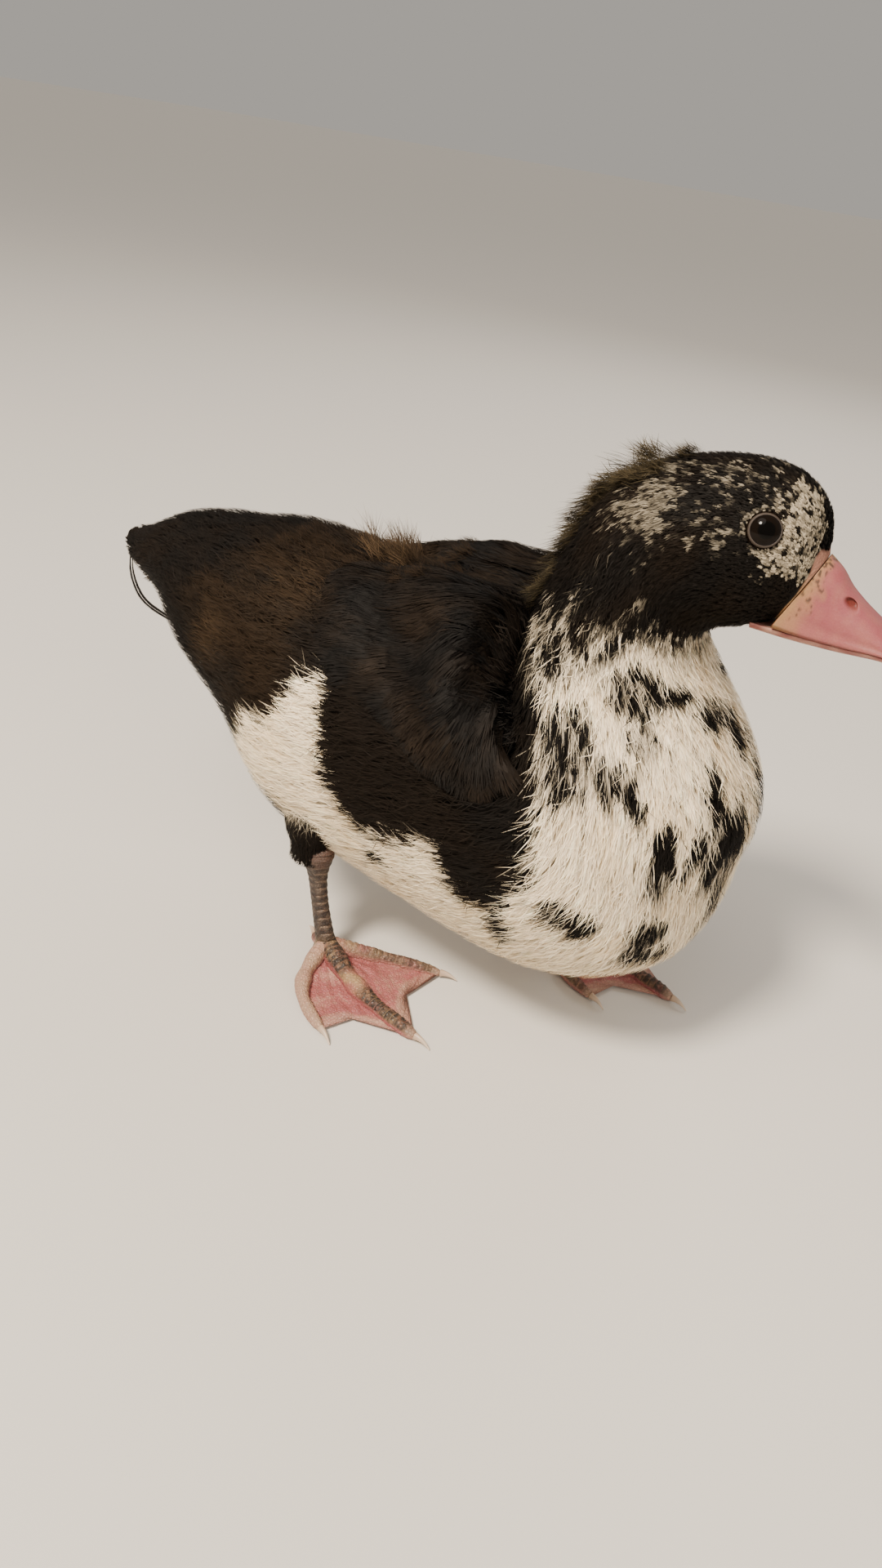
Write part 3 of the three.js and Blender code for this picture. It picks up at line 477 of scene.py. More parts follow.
def plumage(chart, place, angle, grain):
    # colour of the coat at a place and angle; grain (about 0, spread 1) roughens every edge feather by feather
    points = chart.look(chart.points, place, angle)
    away = fromBack(angle)
    mirrored = chart.look(chart.points, place, -np.abs(angle))  # marks are stated on the right side
    soft = waves(points, 16, 1)
    fine = waves(points, 5, 2)
    tiny = waves(points, 2.6, 3)
    strand = strands(place, angle, 4)

    # upper parts: black, browner on the back and flanks
    brownness = ramp(1.8, 2.6, place + 0.008 * (away - 50) + 0.12 * soft)
    brownness = brownness * ramp(4.0, 3.3, place) * ramp(120, 80, away)
    brownness = np.clip(brownness * (0.75 + 0.3 * soft), 0, 1)
    onWing = ramp(-1.0, 2.5, chart.look(insetGrid, place, angle) + 0.8 * grain)
    flank = ramp(3.7, 4.2, place) * ramp(6.2, 5.4, place) * ramp(55, 75, away) * (1 - onWing)
    colour = blend(hue["black"], hue["brownBlack"], 0.35 + 0.4 * soft)
    colour = blend(colour, hue["brown"], 0.8 * brownness)
    colour = blend(colour, hue["brownBlack"], 0.85 * flank)
    tanBand = bell(mirrored, (-92, -42, 112), 10) * 0.35 + bell(mirrored, (-66, -30, 140), 14) * 0.28
    colour = blend(colour, hue["tan"], np.clip(tanBand * (0.8 + 0.5 * fine), 0, 0.8))
    wingTone = blend(hue["blueBlack"], hue["brownBlack"] * 1.5, 0.25 + 0.45 * soft)
    colour = blend(colour, wingTone, onWing)

    # white underparts and breast
    white = ramp(-1.5, 1.5, away - np.interp(place, *edges["dark"]) + 1.6 * grain + 1.5 * fine) * (place > 2.2)
    collar = np.interp(away, *edges["collar"])
    mottled = ramp(collar - 0.25, collar + 0.1, place) * ramp(38, 50, away)
    speckle = ramp(0.2, -0.3, 0.75 * strand + 0.5 * fine + 0.25 * grain + 0.40)
    white = np.where(place > 8.6, np.maximum(white, mottled), white)
    white = white * (1 - mottled * (1 - 0.72 * speckle))
    white = white * ramp(0.12, -0.12, place - np.interp(away, *edges["head"]) + 0.1 * grain + 0.06 * fine)

    # dark below the flanks, round the thighs
    under = np.minimum(away - np.interp(place, *edges["under"]), 166 - away)
    under = ramp(-4, 4, under + 2.5 * grain + 1.5 * strand)
    under = under * ramp(3.05, 3.2, place + 0.04 * grain) * ramp(4.25, 4.05, place + 0.05 * grain)
    white = white * (1 - under)

    # dark marks on the breast, mirrored where they lie well off the middle
    lie, normal = chart.look(chart.lie, place, angle), chart.look(chart.normals, place, angle)
    mark = np.zeros(place.shape)
    for x, y, z, half, wide, strength in darkMarks:
        for side in ((1, -1) if abs(y) > 16 else (1,)):
            gone = points - np.array([x, y * side, z])
            gone = gone - normal * (gone * normal).sum(-1)[..., None]
            along = (gone * lie).sum(-1)
            across = np.sqrt(np.maximum((gone**2).sum(-1) - along**2, 0))
            inside = 1.25 - np.sqrt((along / half) ** 2 + (across / wide) ** 2)
            mark = np.maximum(mark, strength * ramp(-0.45, 0.45, inside))
    dark = ramp(-0.2, 0.2, 1.35 * mark - 0.56 + 0.42 * strand * (mark > 0.02) + 0.08 * grain)
    creamy = ramp(0.3, 1.6, soft + 0.5 * strand) * 0.5
    shade = blend(hue["white"], hue["white"] * (0.93, 0.88, 0.78), creamy)
    shade = blend(shade, hue["grey"], 0.5 * ramp(0.15, 0.5, mark) * (1 - dark))
    shade = blend(shade, hue["black"], dark)
    colour = blend(colour, shade, white)

    # head: pale flecks on black, pale face, brown down on the nape, bare skin round the bill
    paleness = np.zeros(place.shape)
    along, around = chart.scales(place, angle)
    for at, turned, radius, strength in paleMarks:
        gone = ((place - at) * along) ** 2 + (np.radians(away - turned) * around) ** 2
        paleness += strength * np.exp(-gone / (radius * 1.12) ** 2)
    face = ramp(13.6, 14.4, place)
    sprinkle = 0.22 * ramp(11.6, 12.1, place) * ramp(15.0, 14.4, place) * ramp(8, 20, away) * ramp(100, 78, away)
    paleness = np.minimum(paleness, mix(0.72, 1.0, face))
    speck = waves(points, 1.5, 5)
    fleck = paleness * 2.2 + sprinkle - 1.58 + 0.4 * speck + 0.5 * tiny + 0.3 * fine + 0.5 * grain
    fleck = ramp(-0.5, 0.5, fleck) * ramp(0.02, 0.12, paleness + sprinkle) * (place > 10.4)
    paleTone = blend(hue["white"] * 0.25, hue["cream"] * 0.74, face * 0.9 + 0.1 * soft)
    paleTone = paleTone * np.clip(0.85 + 0.2 * speck + 0.12 * grain, 0.4, 1.15)[..., None]
    colour = blend(colour, paleTone, fleck * mix(0.75, 1.0, face))
    nape = ramp(10.0, 10.6, place) * ramp(13.0, 12.4, place) * ramp(32, 10, away)
    colour = blend(colour, hue["olive"], np.clip(nape * (0.55 + 0.25 * soft), 0, 0.85))
    bareTone = blend(hue["overBill"], hue["billRoot"], ramp(45, 90, away))
    return blend(colour, bareTone, ramp(-0.02, 0.06, place - np.interp(away, *edges["bare"])))


bodyTint = plumage(body, placeGrid, angleGrid, np.zeros(placeGrid.shape))
print("markings worked out")


def chartUv(across, up):
    # a piece's own unwrap, from shares of its width and height
    return 0.01 + 0.98 * np.stack([across, up], -1)


def skinUv(place, angle):
    return chartUv((angle + pi) / (2 * pi), (place - firstPlace) / (lastPlace - firstPlace))


# feather material and skin
featherFinish = Finish("featherFinish", Roughness=0.62, Specular_IOR_Level=0.07)
streak = featherFinish.noise(900.0, 2.0)
featherFinish.paint(0.22, streak)
featherFinish.put("Roughness", 0.55 + 0.18 * streak)
skinFinish = Finish("skinFinish", Roughness=0.9, Specular_IOR_Level=0.15)
down = skinFinish.noise(1400.0, 4.0)
skinFinish.paint(0.45, down, "MULTIPLY")
skinFinish.bump(down, 0.6, 0.001)

# every other column, without the last, which is the first again, keeps the skin under 200,000 triangles
ringColumns = slice(0, -1, 2)
points, faces, spots = closedTube(body.points[:, ringColumns])
# the skin takes the coat's colours darkened to 0.75: painted shade where it lies under the feathers
tone = bodyTint[:, ringColumns].reshape(-1, 3)[spots] * 0.75
uvs = skinUv(placeGrid, angleGrid)[:, ringColumns].reshape(-1, 2)[spots]
skin = meshFrom("skin", points, faces, skinFinish, tone, uvs)
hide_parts("torso", "neck", "head")
print("skin:", len(faces), "triangles")


# coat: every barb and tuft is a kite of two triangles that follows the skin
def kites(chart, place, angle, heading, length, width, low, middle, tip, bend=0.0, roll=0.0):
    # corners: the root, two sides at 0.45 of the length, the tip; low, middle and tip are heights over the skin
    scales = chart.scales(place, angle)
    rows = []
    for share, wide, height in ((0.0, 0, low), (0.45, -0.5, middle), (0.45, 0.5, middle), (1.0, 0, tip)):
        aside = width * wide
        spot = chart.step(place, angle, scales, heading + bend * share, length * share, aside)
        rows.append(chart.point(*spot, height + roll * aside))
    return np.stack(rows, 1)


mostTriangles = 190000  # in one piece


def coatPieces(name, corners, colour, uv, normals=None, rootShade=None, tipLight=1.06):
    # joins kites into one piece or several; their colours are multiplied at the root by a painted shade factor and at
    # the tip by a painted light factor, and each kite's uv is a small patch at its root's place
    count = len(corners)
    rootShade = mix(0.55, 0.96, ramp(0.1, 0.5, colour.max(1))) if rootShade is None else np.full(count, rootShade)
    if normals is not None:
        facing = (np.cross(corners[:, 2] - corners[:, 0], corners[:, 1] - corners[:, 0]) * normals).sum(1) < 0
        corners = np.where(facing[:, None, None], corners[:, [0, 2, 1, 3]], corners)
    # factors for root, sides and tip: painted shade at the root, painted light at the tip
    shade = np.stack([rootShade, 0.5 + 0.5 * rootShade, 0.5 + 0.5 * rootShade, np.full(count, tipLight)], 1)
    tones = np.clip(colour[:, None] * shade[..., None], 0, 1)
    uvs = np.clip(uv[:, None] + np.array([[0, -0.5], [-0.5, 0], [0.5, 0], [0, 0.5]]) * 0.003, 0, 1)
    parts = int(np.ceil(count * 2 / mostTriangles))
    made = []
    for part, index in enumerate(np.array_split(np.arange(count), parts)):
        title = name if parts == 1 else f"{name}_{part + 1}"
        faces = (np.arange(len(index))[:, None, None] * 4 + np.array([[0, 2, 1], [1, 2, 3]])).reshape(-1, 3)
        piece = meshFrom(title, corners[index].reshape(-1, 3), faces, featherFinish,
                         tones[index].reshape(-1, 3), uvs[index].reshape(-1, 2))
        if normals is not None:
            piece.data.normals_split_custom_set_from_vertices(np.repeat(normals[index], 4, axis=0))
        made.append(piece)
    print(name + ":", count * 2, "triangles in", parts, "pieces")
    return made


def plumes(chart, place, angle, heading, feather):
    # contour feathers: long fine barbs leave both sides of a shaft at a small angle, lie nearly along it and
    # end on a rounded outline; feather holds each one's length, width and rise
    count, barbs = len(place), feather["barbs"]
    start = dice.uniform(0, 1, (count, barbs)) ** 1.15 * 0.62
    across = power(dice.uniform(-1, 1, (count, barbs)), 0.8)
    long, wide, rise = (feather[key][:, None] for key in ("length", "width", "rise"))
    outline = np.sqrt(np.clip(1 - (0.94 * across) ** 2, 0, 1))
    end = start + (mix(0.45, 1.0, outline) - start) * mix(0.72, 1.0, start / 0.62)
    barbLength = np.maximum((end - start) * long, np.minimum(2.0, 0.3 * long)) * dice.uniform(0.85, 1.12, start.shape)
    # a barb starts at a share of its final offset and leans out by the rest
    offset = across * wide * 0.5 * np.sqrt(np.clip(end, 0.1, 1))
    lean = np.arctan2(offset * 0.62, barbLength)
    scales = [scale[:, None] for scale in chart.scales(place, angle)]
    turn = heading[:, None]
    p, r = chart.step(place[:, None], angle[:, None], scales, turn, start * long, offset * 0.38)
    crown = 1 - 0.35 * across**2
    low = -0.5 + rise * start**0.7 * crown
    tip = -0.3 + rise * np.minimum(end, 1) ** 0.7 * crown + dice.normal(0, feather["fuzz"], start.shape)
    flat = lambda field: np.broadcast_to(field, start.shape).ravel()
    lean = lean * sideOf(angle)[:, None]
    p, r, turn = flat(p), flat(r), flat(turn + lean) + dice.normal(0, feather["mess"], start.size)
    corners = kites(chart, p, r, turn, flat(barbLength), feather["barb"] * dice.uniform(0.7, 1.3, start.size),
                    flat(low), flat(mix(low, tip, 0.62)) + 0.12, flat(tip), -0.4 * flat(lean),
                    dice.normal(0, 0.1, start.size))
    return corners, np.repeat(np.arange(count), barbs), p, r, flat(end)


def headingAt(place, angle):
    # feathers slope downwards a little on the flanks and breast sides
    return 0.2 * np.sin(np.abs(angle)) * ramp(2.0, 5.0, place) * ramp(11.5, 9.0, place)


def coatNormals(chart, place, angle, rough):
    # shading of a coat follows the surface below it, roughened from barb to barb
    normals = chart.look(chart.normals, place, angle)
    return unit(normals + dice.normal(0, rough, normals.shape)).astype(np.float32)


# trunk and neck, with shorter and denser feathers towards the head
trunkCoat = {"feathers": 4900, "barbs": 60, "length": 15.5, "width": 7.5, "barb": 0.46, "mess": 0.06, "fuzz": 0.17,
             "strays": 42000, "strayLength": 11.0, "strayWidth": 0.26, "neckSize": 0.6, "neckDensity": 1.9}
neckSize = lambda place: mix(1.0, trunkCoat["neckSize"], ramp(9.0, 11.4, place))
trunkShare = (ramp(-2.9, -2.6, placeGrid) * (placeGrid < 11.9) * np.where(insetGrid > 5, 0.0, 1.0)
              * mix(1.0, trunkCoat["neckDensity"], ramp(9.3, 11.2, placeGrid)))
place, angle = body.scatter(trunkCoat["feathers"], trunkShare)
n = place.shape
grain = dice.normal(0, 1, n)
feather = {**trunkCoat,
           "length": trunkCoat["length"] * neckSize(place) * ramp(-4.5, 1.0, place) * dice.uniform(0.85, 1.15, n),
           "width": trunkCoat["width"] * neckSize(place) * dice.uniform(0.85, 1.15, n),
           "rise": body.look(coatDepth, place, angle) * dice.uniform(0.8, 1.02, n)}
heading = headingAt(place, angle) + dice.normal(0, 0.10, n)
corners, owner, p, r, ends = plumes(body, place, angle, heading, feather)
tone = plumage(body, p, r, 0.7 * grain[owner] + 0.3 * dice.normal(0, 1, p.shape))
ends = mix(mix(0.8, 1.15, ends), 1.0, ramp(0.1, 0.5, tone.max(1)))[:, None]  # painted shade and light: barbs of dark feathers are darker the nearer the shaft they end, lighter out at the outline
tone = tone * ends * dice.uniform(0.9, 1.08, (len(place), 1))[owner] * dice.uniform(0.88, 1.12, (len(owner), 1))
coatPieces("trunkCoat", corners, tone, skinUv(p, r), coatNormals(body, p, r, 0.12))

# loose fine strands over the trunk and neck
place, angle = body.scatter(trunkCoat["strays"], trunkShare)
n = place.shape
length = trunkCoat["strayLength"] * neckSize(place) * dice.uniform(0.7, 1.2, n) * ramp(-4.5, 1.0, place)
depth = body.look(coatDepth, place, angle)
tip = depth * dice.uniform(0.85, 1.1, n)
heading = headingAt(place, angle) + dice.normal(0, 0.16, n)
corners = kites(body, place, angle, heading, length, trunkCoat["strayWidth"] * dice.uniform(0.7, 1.3, n),
                0.35 * depth, 0.85 * tip, tip, dice.normal(0, 0.25, n), dice.normal(0, 0.3, n))
points = body.look(body.points, place, angle)
tone = plumage(body, place, angle, 0.8 * waves(points, 4.5, 8) + 0.4 * dice.normal(0, 1, n))
coatPieces("looseStrands", corners, tone * dice.uniform(0.85, 1.15, (len(place), 1)), skinUv(place, angle),
           coatNormals(body, place, angle, 0.2), 0.8)

# eyes and lids; the feathers of the head stay clear of them
eye = {"place": 14.12, "round": 66.5, "clear": 4.7, "radius": 6.0, "sunk": 4.3, "pupilRadius": 2.3, "lidRadius": 4.35,
       "lidThick": 0.30, "lidLift": -0.35, "pupil": (0.0015, 0.0012, 0.001), "iris": (0.005, 0.0030, 0.0019),
       "lidTone": (0.040, 0.027, 0.019), "lidEdge": (0.008, 0.006, 0.005)}

# head: small round-ended feathers, each of one tone, so that the pale marks break up into dabs
headCoat = {"feathers": 9000, "barbs": 15, "barb": 0.36, "mess": 0.07, "fuzz": 0.12, "slender": 0.6,
            "length": ([11.3, 12.2, 13.2, 14.2, 15.2, 16], [7.4, 5.8, 4.4, 3.1, 2.2, 1.6])}
where = ramp(11.2, 11.9, placeGrid) * mix(1.0, 1.7, ramp(13.2, 14.6, placeGrid))
place, angle = body.scatter(headCoat["feathers"], where)
points = body.look(body.points, place, angle)
seats = [bodyPoint(eye["place"], radians(sign * eye["round"]), -skinLook["headDepth"]) for sign in (1, -1)]
eyeDistance = np.minimum(*(np.linalg.norm(points - seat, axis=-1) for seat in seats))
covered = place < np.interp(fromBack(angle), *edges["bare"]) + dice.normal(0, 0.03, len(place))
keep = (eyeDistance > eye["clear"]) & covered
place, angle, eyeDistance = place[keep], angle[keep], eyeDistance[keep]
n = place.shape
length = np.interp(place, *headCoat["length"]) * dice.uniform(0.8, 1.15, n)
aheadOfEye = ramp(14.0, 14.4, place) * (np.abs(fromBack(angle) - eye["round"]) < 22)
length = np.where(aheadOfEye > 0, np.minimum(length, 0.7 * (eyeDistance - 4.2) + 0.5), length)
length = np.where(eyeDistance < 6.5, np.minimum(length, 1.7), length)
rise = body.look(coatDepth, place, angle) * dice.uniform(0.75, 1.1, n)
rise = np.where(eyeDistance < 7.5, rise * 0.75, rise)
feather = {**headCoat, "length": length, "width": length * headCoat["slender"] + 0.3, "rise": rise}
heading = 0.12 * np.sin(np.abs(angle)) + dice.normal(0, 0.14, n)
corners, owner, p, r, ends = plumes(body, place, angle, heading, feather)
shown = place - 0.6 * length / body.look(body.alongScale, place, angle)
tone = plumage(body, shown, angle, dice.normal(0, 1, n))[owner]
# painted shade and light: barbs darker the nearer the shaft they end and lighter at the outline; the other factor is
# random tone
tone = tone * (mix(0.85, 1.12, ends) * dice.uniform(0.85, 1.15, len(owner)))[:, None]
coatPieces("headCoat", corners, tone, skinUv(p, r), coatNormals(body, p, r, 0.18))

# down that stands out in clumps whose strands draw together: the nape, a tuft on the crown, wisps between the
# wings; each patch has its span of places, degrees to each side, strand length, height and colour
downLook = {"strands": 40, "spread": 1.5, "width": 0.20}
downPatches = {
    "napeDown": {"count": 150, "places": (9.9, 12.75), "turned": 30, "length": 7.5, "height": 8.5, "tip": "olive"},
    "crownTuft": {"count": 6, "places": (12.78, 12.95), "turned": 8, "length": 6.0, "height": 5.5, "tip": "olive"},
    "backWisps": {"count": 24, "places": (3.35, 3.95), "turned": 7, "length": 12.0, "height": 13.5, "tip": "tan"},
    "backDown": {"count": 90, "places": (2.5, 4.6), "turned": 26, "length": 9.0, "height": 2.0, "tip": "brown"},
}
for name, patch in downPatches.items():
    clumps = patch["count"]
    shape = (clumps, downLook["strands"])
    at = dice.uniform(*patch["places"], clumps)[:, None]
    turned = radians(patch["turned"]) * dice.uniform(-1, 1, clumps)[:, None]
    stand = dice.uniform(0.15, 1.0, clumps)[:, None] * (1 - 0.4 * (np.degrees(turned) / patch["turned"]) ** 2)
    wayBack = dice.normal(0, 0.3, clumps)[:, None]
    along, around = body.scales(at, turned)
    gone, aside = dice.normal(0, downLook["spread"], shape), dice.normal(0, downLook["spread"], shape)
    place, angle = at + gone / along, turned + aside / around
    length = patch["length"] * mix(0.75, 1.0, stand) * dice.uniform(0.7, 1.1, shape) + 0.5 * gone
    inwards = sideOf(angle) * np.arcsin(np.clip(aside / length, -0.9, 0.9)) * 0.75
    heading = wayBack - inwards + dice.normal(0, 0.22, shape)
    tip = body.look(coatDepth, place, angle) + patch["height"] * stand * dice.uniform(0.25, 1.15, shape)
    place, angle, heading, length, tip = (field.ravel() for field in (place, angle, heading, length, tip))
    n = place.shape
    corners = kites(body, place, angle, heading, length, downLook["width"] * dice.uniform(0.7, 1.3, n),
                    0.3 * tip, 0.62 * tip, tip, dice.normal(0, 0.3, n), dice.normal(0, 0.3, n))
    tone = blend(hue[patch["tip"]], hue["brownBlack"], dice.uniform(0, 0.8, n))
    # root darkened to half, painted shade, and tip lightened 1.8 times, painted light
    coatPieces(name, corners, tone, skinUv(place, angle), coatNormals(body, place, angle, 0.25),
               0.5, 1.8)

# wing feathers: larger smooth plumes over the raised parts, their tips past the outline
wingCoat = {"feathers": 620, "barbs": 120, "length": 21, "width": 13.5, "rise": 3.0, "barb": 0.5, "mess": 0.03,
            "fuzz": 0.10}
place, angle = wingChart.scatter(wingCoat["feathers"], np.where(insetGrid > 1.5, 1.0, 0.0))
n = place.shape
grain = dice.normal(0, 1, n)
feather = {**wingCoat, "length": wingCoat["length"] * dice.uniform(0.85, 1.15, n),
           "width": wingCoat["width"] * dice.uniform(0.85, 1.15, n),
           "rise": wingCoat["rise"] * dice.uniform(0.85, 1.1, n)}
heading = mix(0.25, 1.25, ramp(4.4, 6.6, place)) * ramp(5, 40, fromBack(angle)) + dice.normal(0, 0.10, n)
corners, owner, p, r, ends = plumes(wingChart, place, angle, heading, feather)
slate = 0.45 + 0.4 * waves(wingChart.look(wingChart.points, p, r), 24, 51) + 0.12 * grain[owner]
tone = blend(hue["blueBlack"], hue["brownBlack"], slate) * dice.uniform(0.85, 1.15, (len(owner), 1))
# painted shade and light: barbs darker the nearer the shaft they end, lighter at the outline, so the feathers show;
# the per-feather factor is random tone
tone = tone * (dice.uniform(0.8, 1.15, n)[owner] * mix(0.6, 1.4, ends**2))[:, None]
for title, sign in (("left", 1), ("right", -1)):
    mine = np.sign(angle[owner]) == sign
    normals = coatNormals(wingChart, p[mine], r[mine], 0.10)
    made = coatPieces("wingFeathers_" + title, corners[mine], tone[mine], skinUv(p, r)[mine],
                      normals, 0.8)
    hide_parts("wing_" + title)


# curves and tubes for the bare parts
def curve(knots, t):
    # Catmull-Rom through the knots, t from 0 to 1, with the end knots doubled
    knots = np.asarray(knots, dtype=float)
    at = np.clip(np.asarray(t, dtype=float), 0, 1) * (len(knots) - 1)
    i = np.minimum(at.astype(int), len(knots) - 2)
    after = knots[np.minimum(i + 2, len(knots) - 1)]
    return spline(knots[np.maximum(i - 1, 0)], knots[i], knots[i + 1], after, (at - i)[..., None])


def tipRounding(t, start, length, least=0.05):
    # factor that rounds off the end of a tube
    return np.sqrt(np.clip(1 - np.maximum(0, (t - start) / length) ** 2, least, 1))


def alongPath(path, radius, around, rows, relief=None):
    # a tube along path(t), with relief(t, angle) added to radius(t); what would lie below the floor is pressed flat
    t = np.linspace(0, 1, rows)
    centre = path(t)
    ahead = unit(np.gradient(centre, axis=0))
    level = unit(np.stack([-ahead[:, 1], ahead[:, 0], 0 * t], -1))
    tt, aa = wound(t, around)
    size = radius(tt) + (relief(tt, aa) if relief else 0)
    grid = rings(centre, level, np.cross(ahead, level), size * np.cos(aa), size * np.sin(aa))
    grid[..., 2] = np.maximum(grid[..., 2], 0.0)
    return grid, tt, aa


def solidPiece(name, parts, finish, node):
    # one object from (grid, colour) parts, each a closed tube
    points, faces, tones, count = [], [], [], 0
    for grid, tone in parts:
        p, f, spots = closedTube(grid)
        points.append(p)
        faces.append(outward(p, f) + count)
        tones.append(np.broadcast_to(tone, grid.shape).reshape(-1, 3)[spots])
        count += len(p)
    piece = meshFrom(name, np.concatenate(points), np.concatenate(faces), finish, np.concatenate(tones))
    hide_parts(node)


def ball(centre, axis, half, rows=40, around=48):
    # an ellipsoid whose third half size lies along an axis
    axis = unit(np.array(axis, dtype=float))
    side = unit(np.cross(axis, (0.03, 0.02, 1.0) if abs(axis[2]) < 0.9 else (1.0, 0, 0)))
    third = np.cross(axis, side)
    polar, angle = wound(np.linspace(0.02, pi - 0.02, rows), around)
    return (np.array(centre) + (np.sin(polar) * np.cos(angle))[..., None] * side * half[0]
            + (np.sin(polar) * np.sin(angle))[..., None] * third * half[1]
            + np.cos(polar)[..., None] * axis * half[2])


# bill: ridge, mouth and nostril are stated forward and up from its root, in the frame of the turned head
bill = {
    "ridge": [[0.8, 0.6], [5.5, -2.6], [10.5, -7.6], [20.5, -14.3], [30, -19.3], [37, -22.4], [41.5, -25.6]],
    "mouth": [[-8.6, -21.9], [0, -22.5], [12, -22.4], [24, -21.9], [33, -23], [38.5, -25.4], [41.2, -27.2]],
    "root": (98, 5, 196), "turn": 8, "halfWidth": 10.4,
    "lowerInset": 0.9, "lowerShare": 0.93, "lowerDrop": (3.6, 1.7),
    "nostril": (11.2, -10.2), "nostrilSize": (2.7, 1.25), "nostrilTilt": -31,
    "nailAt": (39.0, 0.0, -24.3), "nailSize": (2.9, 1.3, 4.0),
    "pink": (0.25, 0.068, 0.076), "paleLip": (0.275, 0.092, 0.085), "rootTan": (0.31, 0.175, 0.080),
    "speck": (0.03, 0.02, 0.016), "nostrilRed": (0.12, 0.02, 0.014), "nail": (0.45, 0.24, 0.19),
}
headTurn = radians(bill["turn"])


def headPoint(forward, left, up):
    x, y, z = bill["root"]
    return np.stack([x + forward * cos(headTurn) - left * sin(headTurn),
                     y + forward * sin(headTurn) + left * cos(headTurn), z + up + 0 * forward], -1)


def billHalfWidth(t):
    return bill["halfWidth"] * (1.07 - 0.46 * t + 0.3 * t * t) * mix(0.12, 1, tipRounding(t, 0.62, 0.39, 0))


def upperBill():
    # rings between the mouth line and the ridge, arched above and hollow below, denser towards the tip
    evenly, angle = wound(np.linspace(0, 1, 150), 160)
    t = 1 - (1 - evenly) ** 1.5
    upper = angle < pi
    top, edge = curve(bill["ridge"], t), curve(bill["mouth"], t)
    width = billHalfWidth(t) * power(np.cos(angle), 0.8)
    arch = np.maximum(np.sin(angle), 0) ** mix(0.85, 1.15, t)
    palate = np.minimum(0, np.sin(angle)) * -0.7 * (1 - t)
    share = np.where(upper, arch, 0)
    forward = mix(edge[..., 0], top[..., 0], share) + 0.3
    up = mix(edge[..., 1], top[..., 1], share) + palate
    # lip: a low roll along the mouth line, and a soft groove above it
    rim = np.where(upper, np.exp(-((arch - 0.07) / 0.06) ** 2) - 0.6 * np.exp(-((arch - 0.22) / 0.07) ** 2), 0)
    width = width + np.sign(width) * 0.35 * rim * ramp(0.02, 0.2, t)
    # sunk sides round the nostrils, and the nostrils as tilted ovals with a low lip
    f, u = bill["nostril"]
    hollow = np.exp(-(((forward - f - 1) / 7) ** 2 + ((up - u + 0.5) / 3.6) ** 2)) * upper
    width = width * (1 - 0.07 * hollow)
    tilt = radians(bill["nostrilTilt"])
    nf = (forward - f) * cos(tilt) + (up - u) * sin(tilt)
    nu = -(forward - f) * sin(tilt) + (up - u) * cos(tilt)
    oval = np.sqrt((nf / bill["nostrilSize"][0]) ** 2 + (nu / bill["nostrilSize"][1]) ** 2)
    hole = ramp(1.0, 0.55, oval) * (np.abs(width) > 2.6) * upper
    lip = np.exp(-((oval - 1.18) / 0.2) ** 2) * upper
    width = width * (1 - 0.30 * hole + 0.03 * lip)
    grid = headPoint(forward, width, up)
    noise = waves(grid, 5, 31)
    fine = waves(grid, 1.7, 32)
    tone = blend(bill["pink"], bill["paleLip"], 0.35 + 0.25 * noise + 0.5 * (arch < 0.25))
    tone = blend(tone, bill["nail"], ramp(0.86, 0.97, t) * 0.7)
    root = ramp(1.0, 0.0, (forward - mix(-8.6, 0.8, share) + 0.7 * noise) / mix(9.5, 3.4, share))
    tone = blend(tone, bill["rootTan"], 0.9 * root**0.7)
    specks = ramp(1.2, 1.7, fine + 1.3 * np.exp(-((forward - 2) / 4) ** 2) * ramp(0.55, 0.9, share))
    specks = specks * ramp(9, 4, forward)
    tone = blend(tone, bill["speck"], 0.8 * specks * ramp(0.0, 0.2, root))
    # the nostrils are a darker red: painted shade inside the shallow openings
    return grid, blend(tone, bill["nostrilRed"], hole)


def lowerBill():
    # a trough under the upper bill, running back under the cheeks
    t, angle = wound(np.linspace(0, 1, 110), 110)
    reach = mix(0, bill["lowerShare"], t)
    edge = curve(bill["mouth"], reach)
    width = (billHalfWidth(reach) - bill["lowerInset"]) * power(np.cos(angle), 0.8)
    drop = np.minimum(0, np.sin(angle)) * mix(*bill["lowerDrop"], t)
    grid = headPoint(edge[..., 0] + mix(-6, 0, np.minimum(1, t * 3)), width, edge[..., 1] - 0.45 + drop)
    return grid, blend(bill["paleLip"], bill["nail"], 0.4 + 0.3 * waves(grid, 5, 33))


billFinish = Finish("billFinish", Roughness=0.42, Specular_IOR_Level=0.3, Subsurface_Weight=0.12,
                    Subsurface_Scale=0.002)
grainy = billFinish.noise(2200.0)
pits = billFinish.node("ShaderNodeTexVoronoi", {}, Vector=billFinish.coords, Scale=1300.0)
billFinish.paint(0.25, grainy)
billFinish.put("Roughness", 0.34 + 0.2 * grainy)
billFinish.bump(pits, 0.12, 0.0004)
nailGrid = ball(headPoint(*map(np.array, bill["nailAt"])), (0.8 * cos(headTurn), 0.8 * sin(headTurn), -0.55),
                bill["nailSize"])
solidPiece("billUpper", [upperBill(), (nailGrid, bill["nail"])], billFinish, "bill_upper")
solidPiece("billLower", [lowerBill()], billFinish, "bill_lower")


def eyeSeat(sign):
    # the point of the head's outline over an eye, the way out of the head there and the way on towards the bill
    place, angle, step = eye["place"], sign * radians(eye["round"]), 0.01
    onward = bodyPoint(place + step, angle) - bodyPoint(place - step, angle)
    across = bodyPoint(place, angle + step) - bodyPoint(place, angle - step)
    return bodyPoint(place, angle), unit(np.cross(onward, across)), unit(onward)


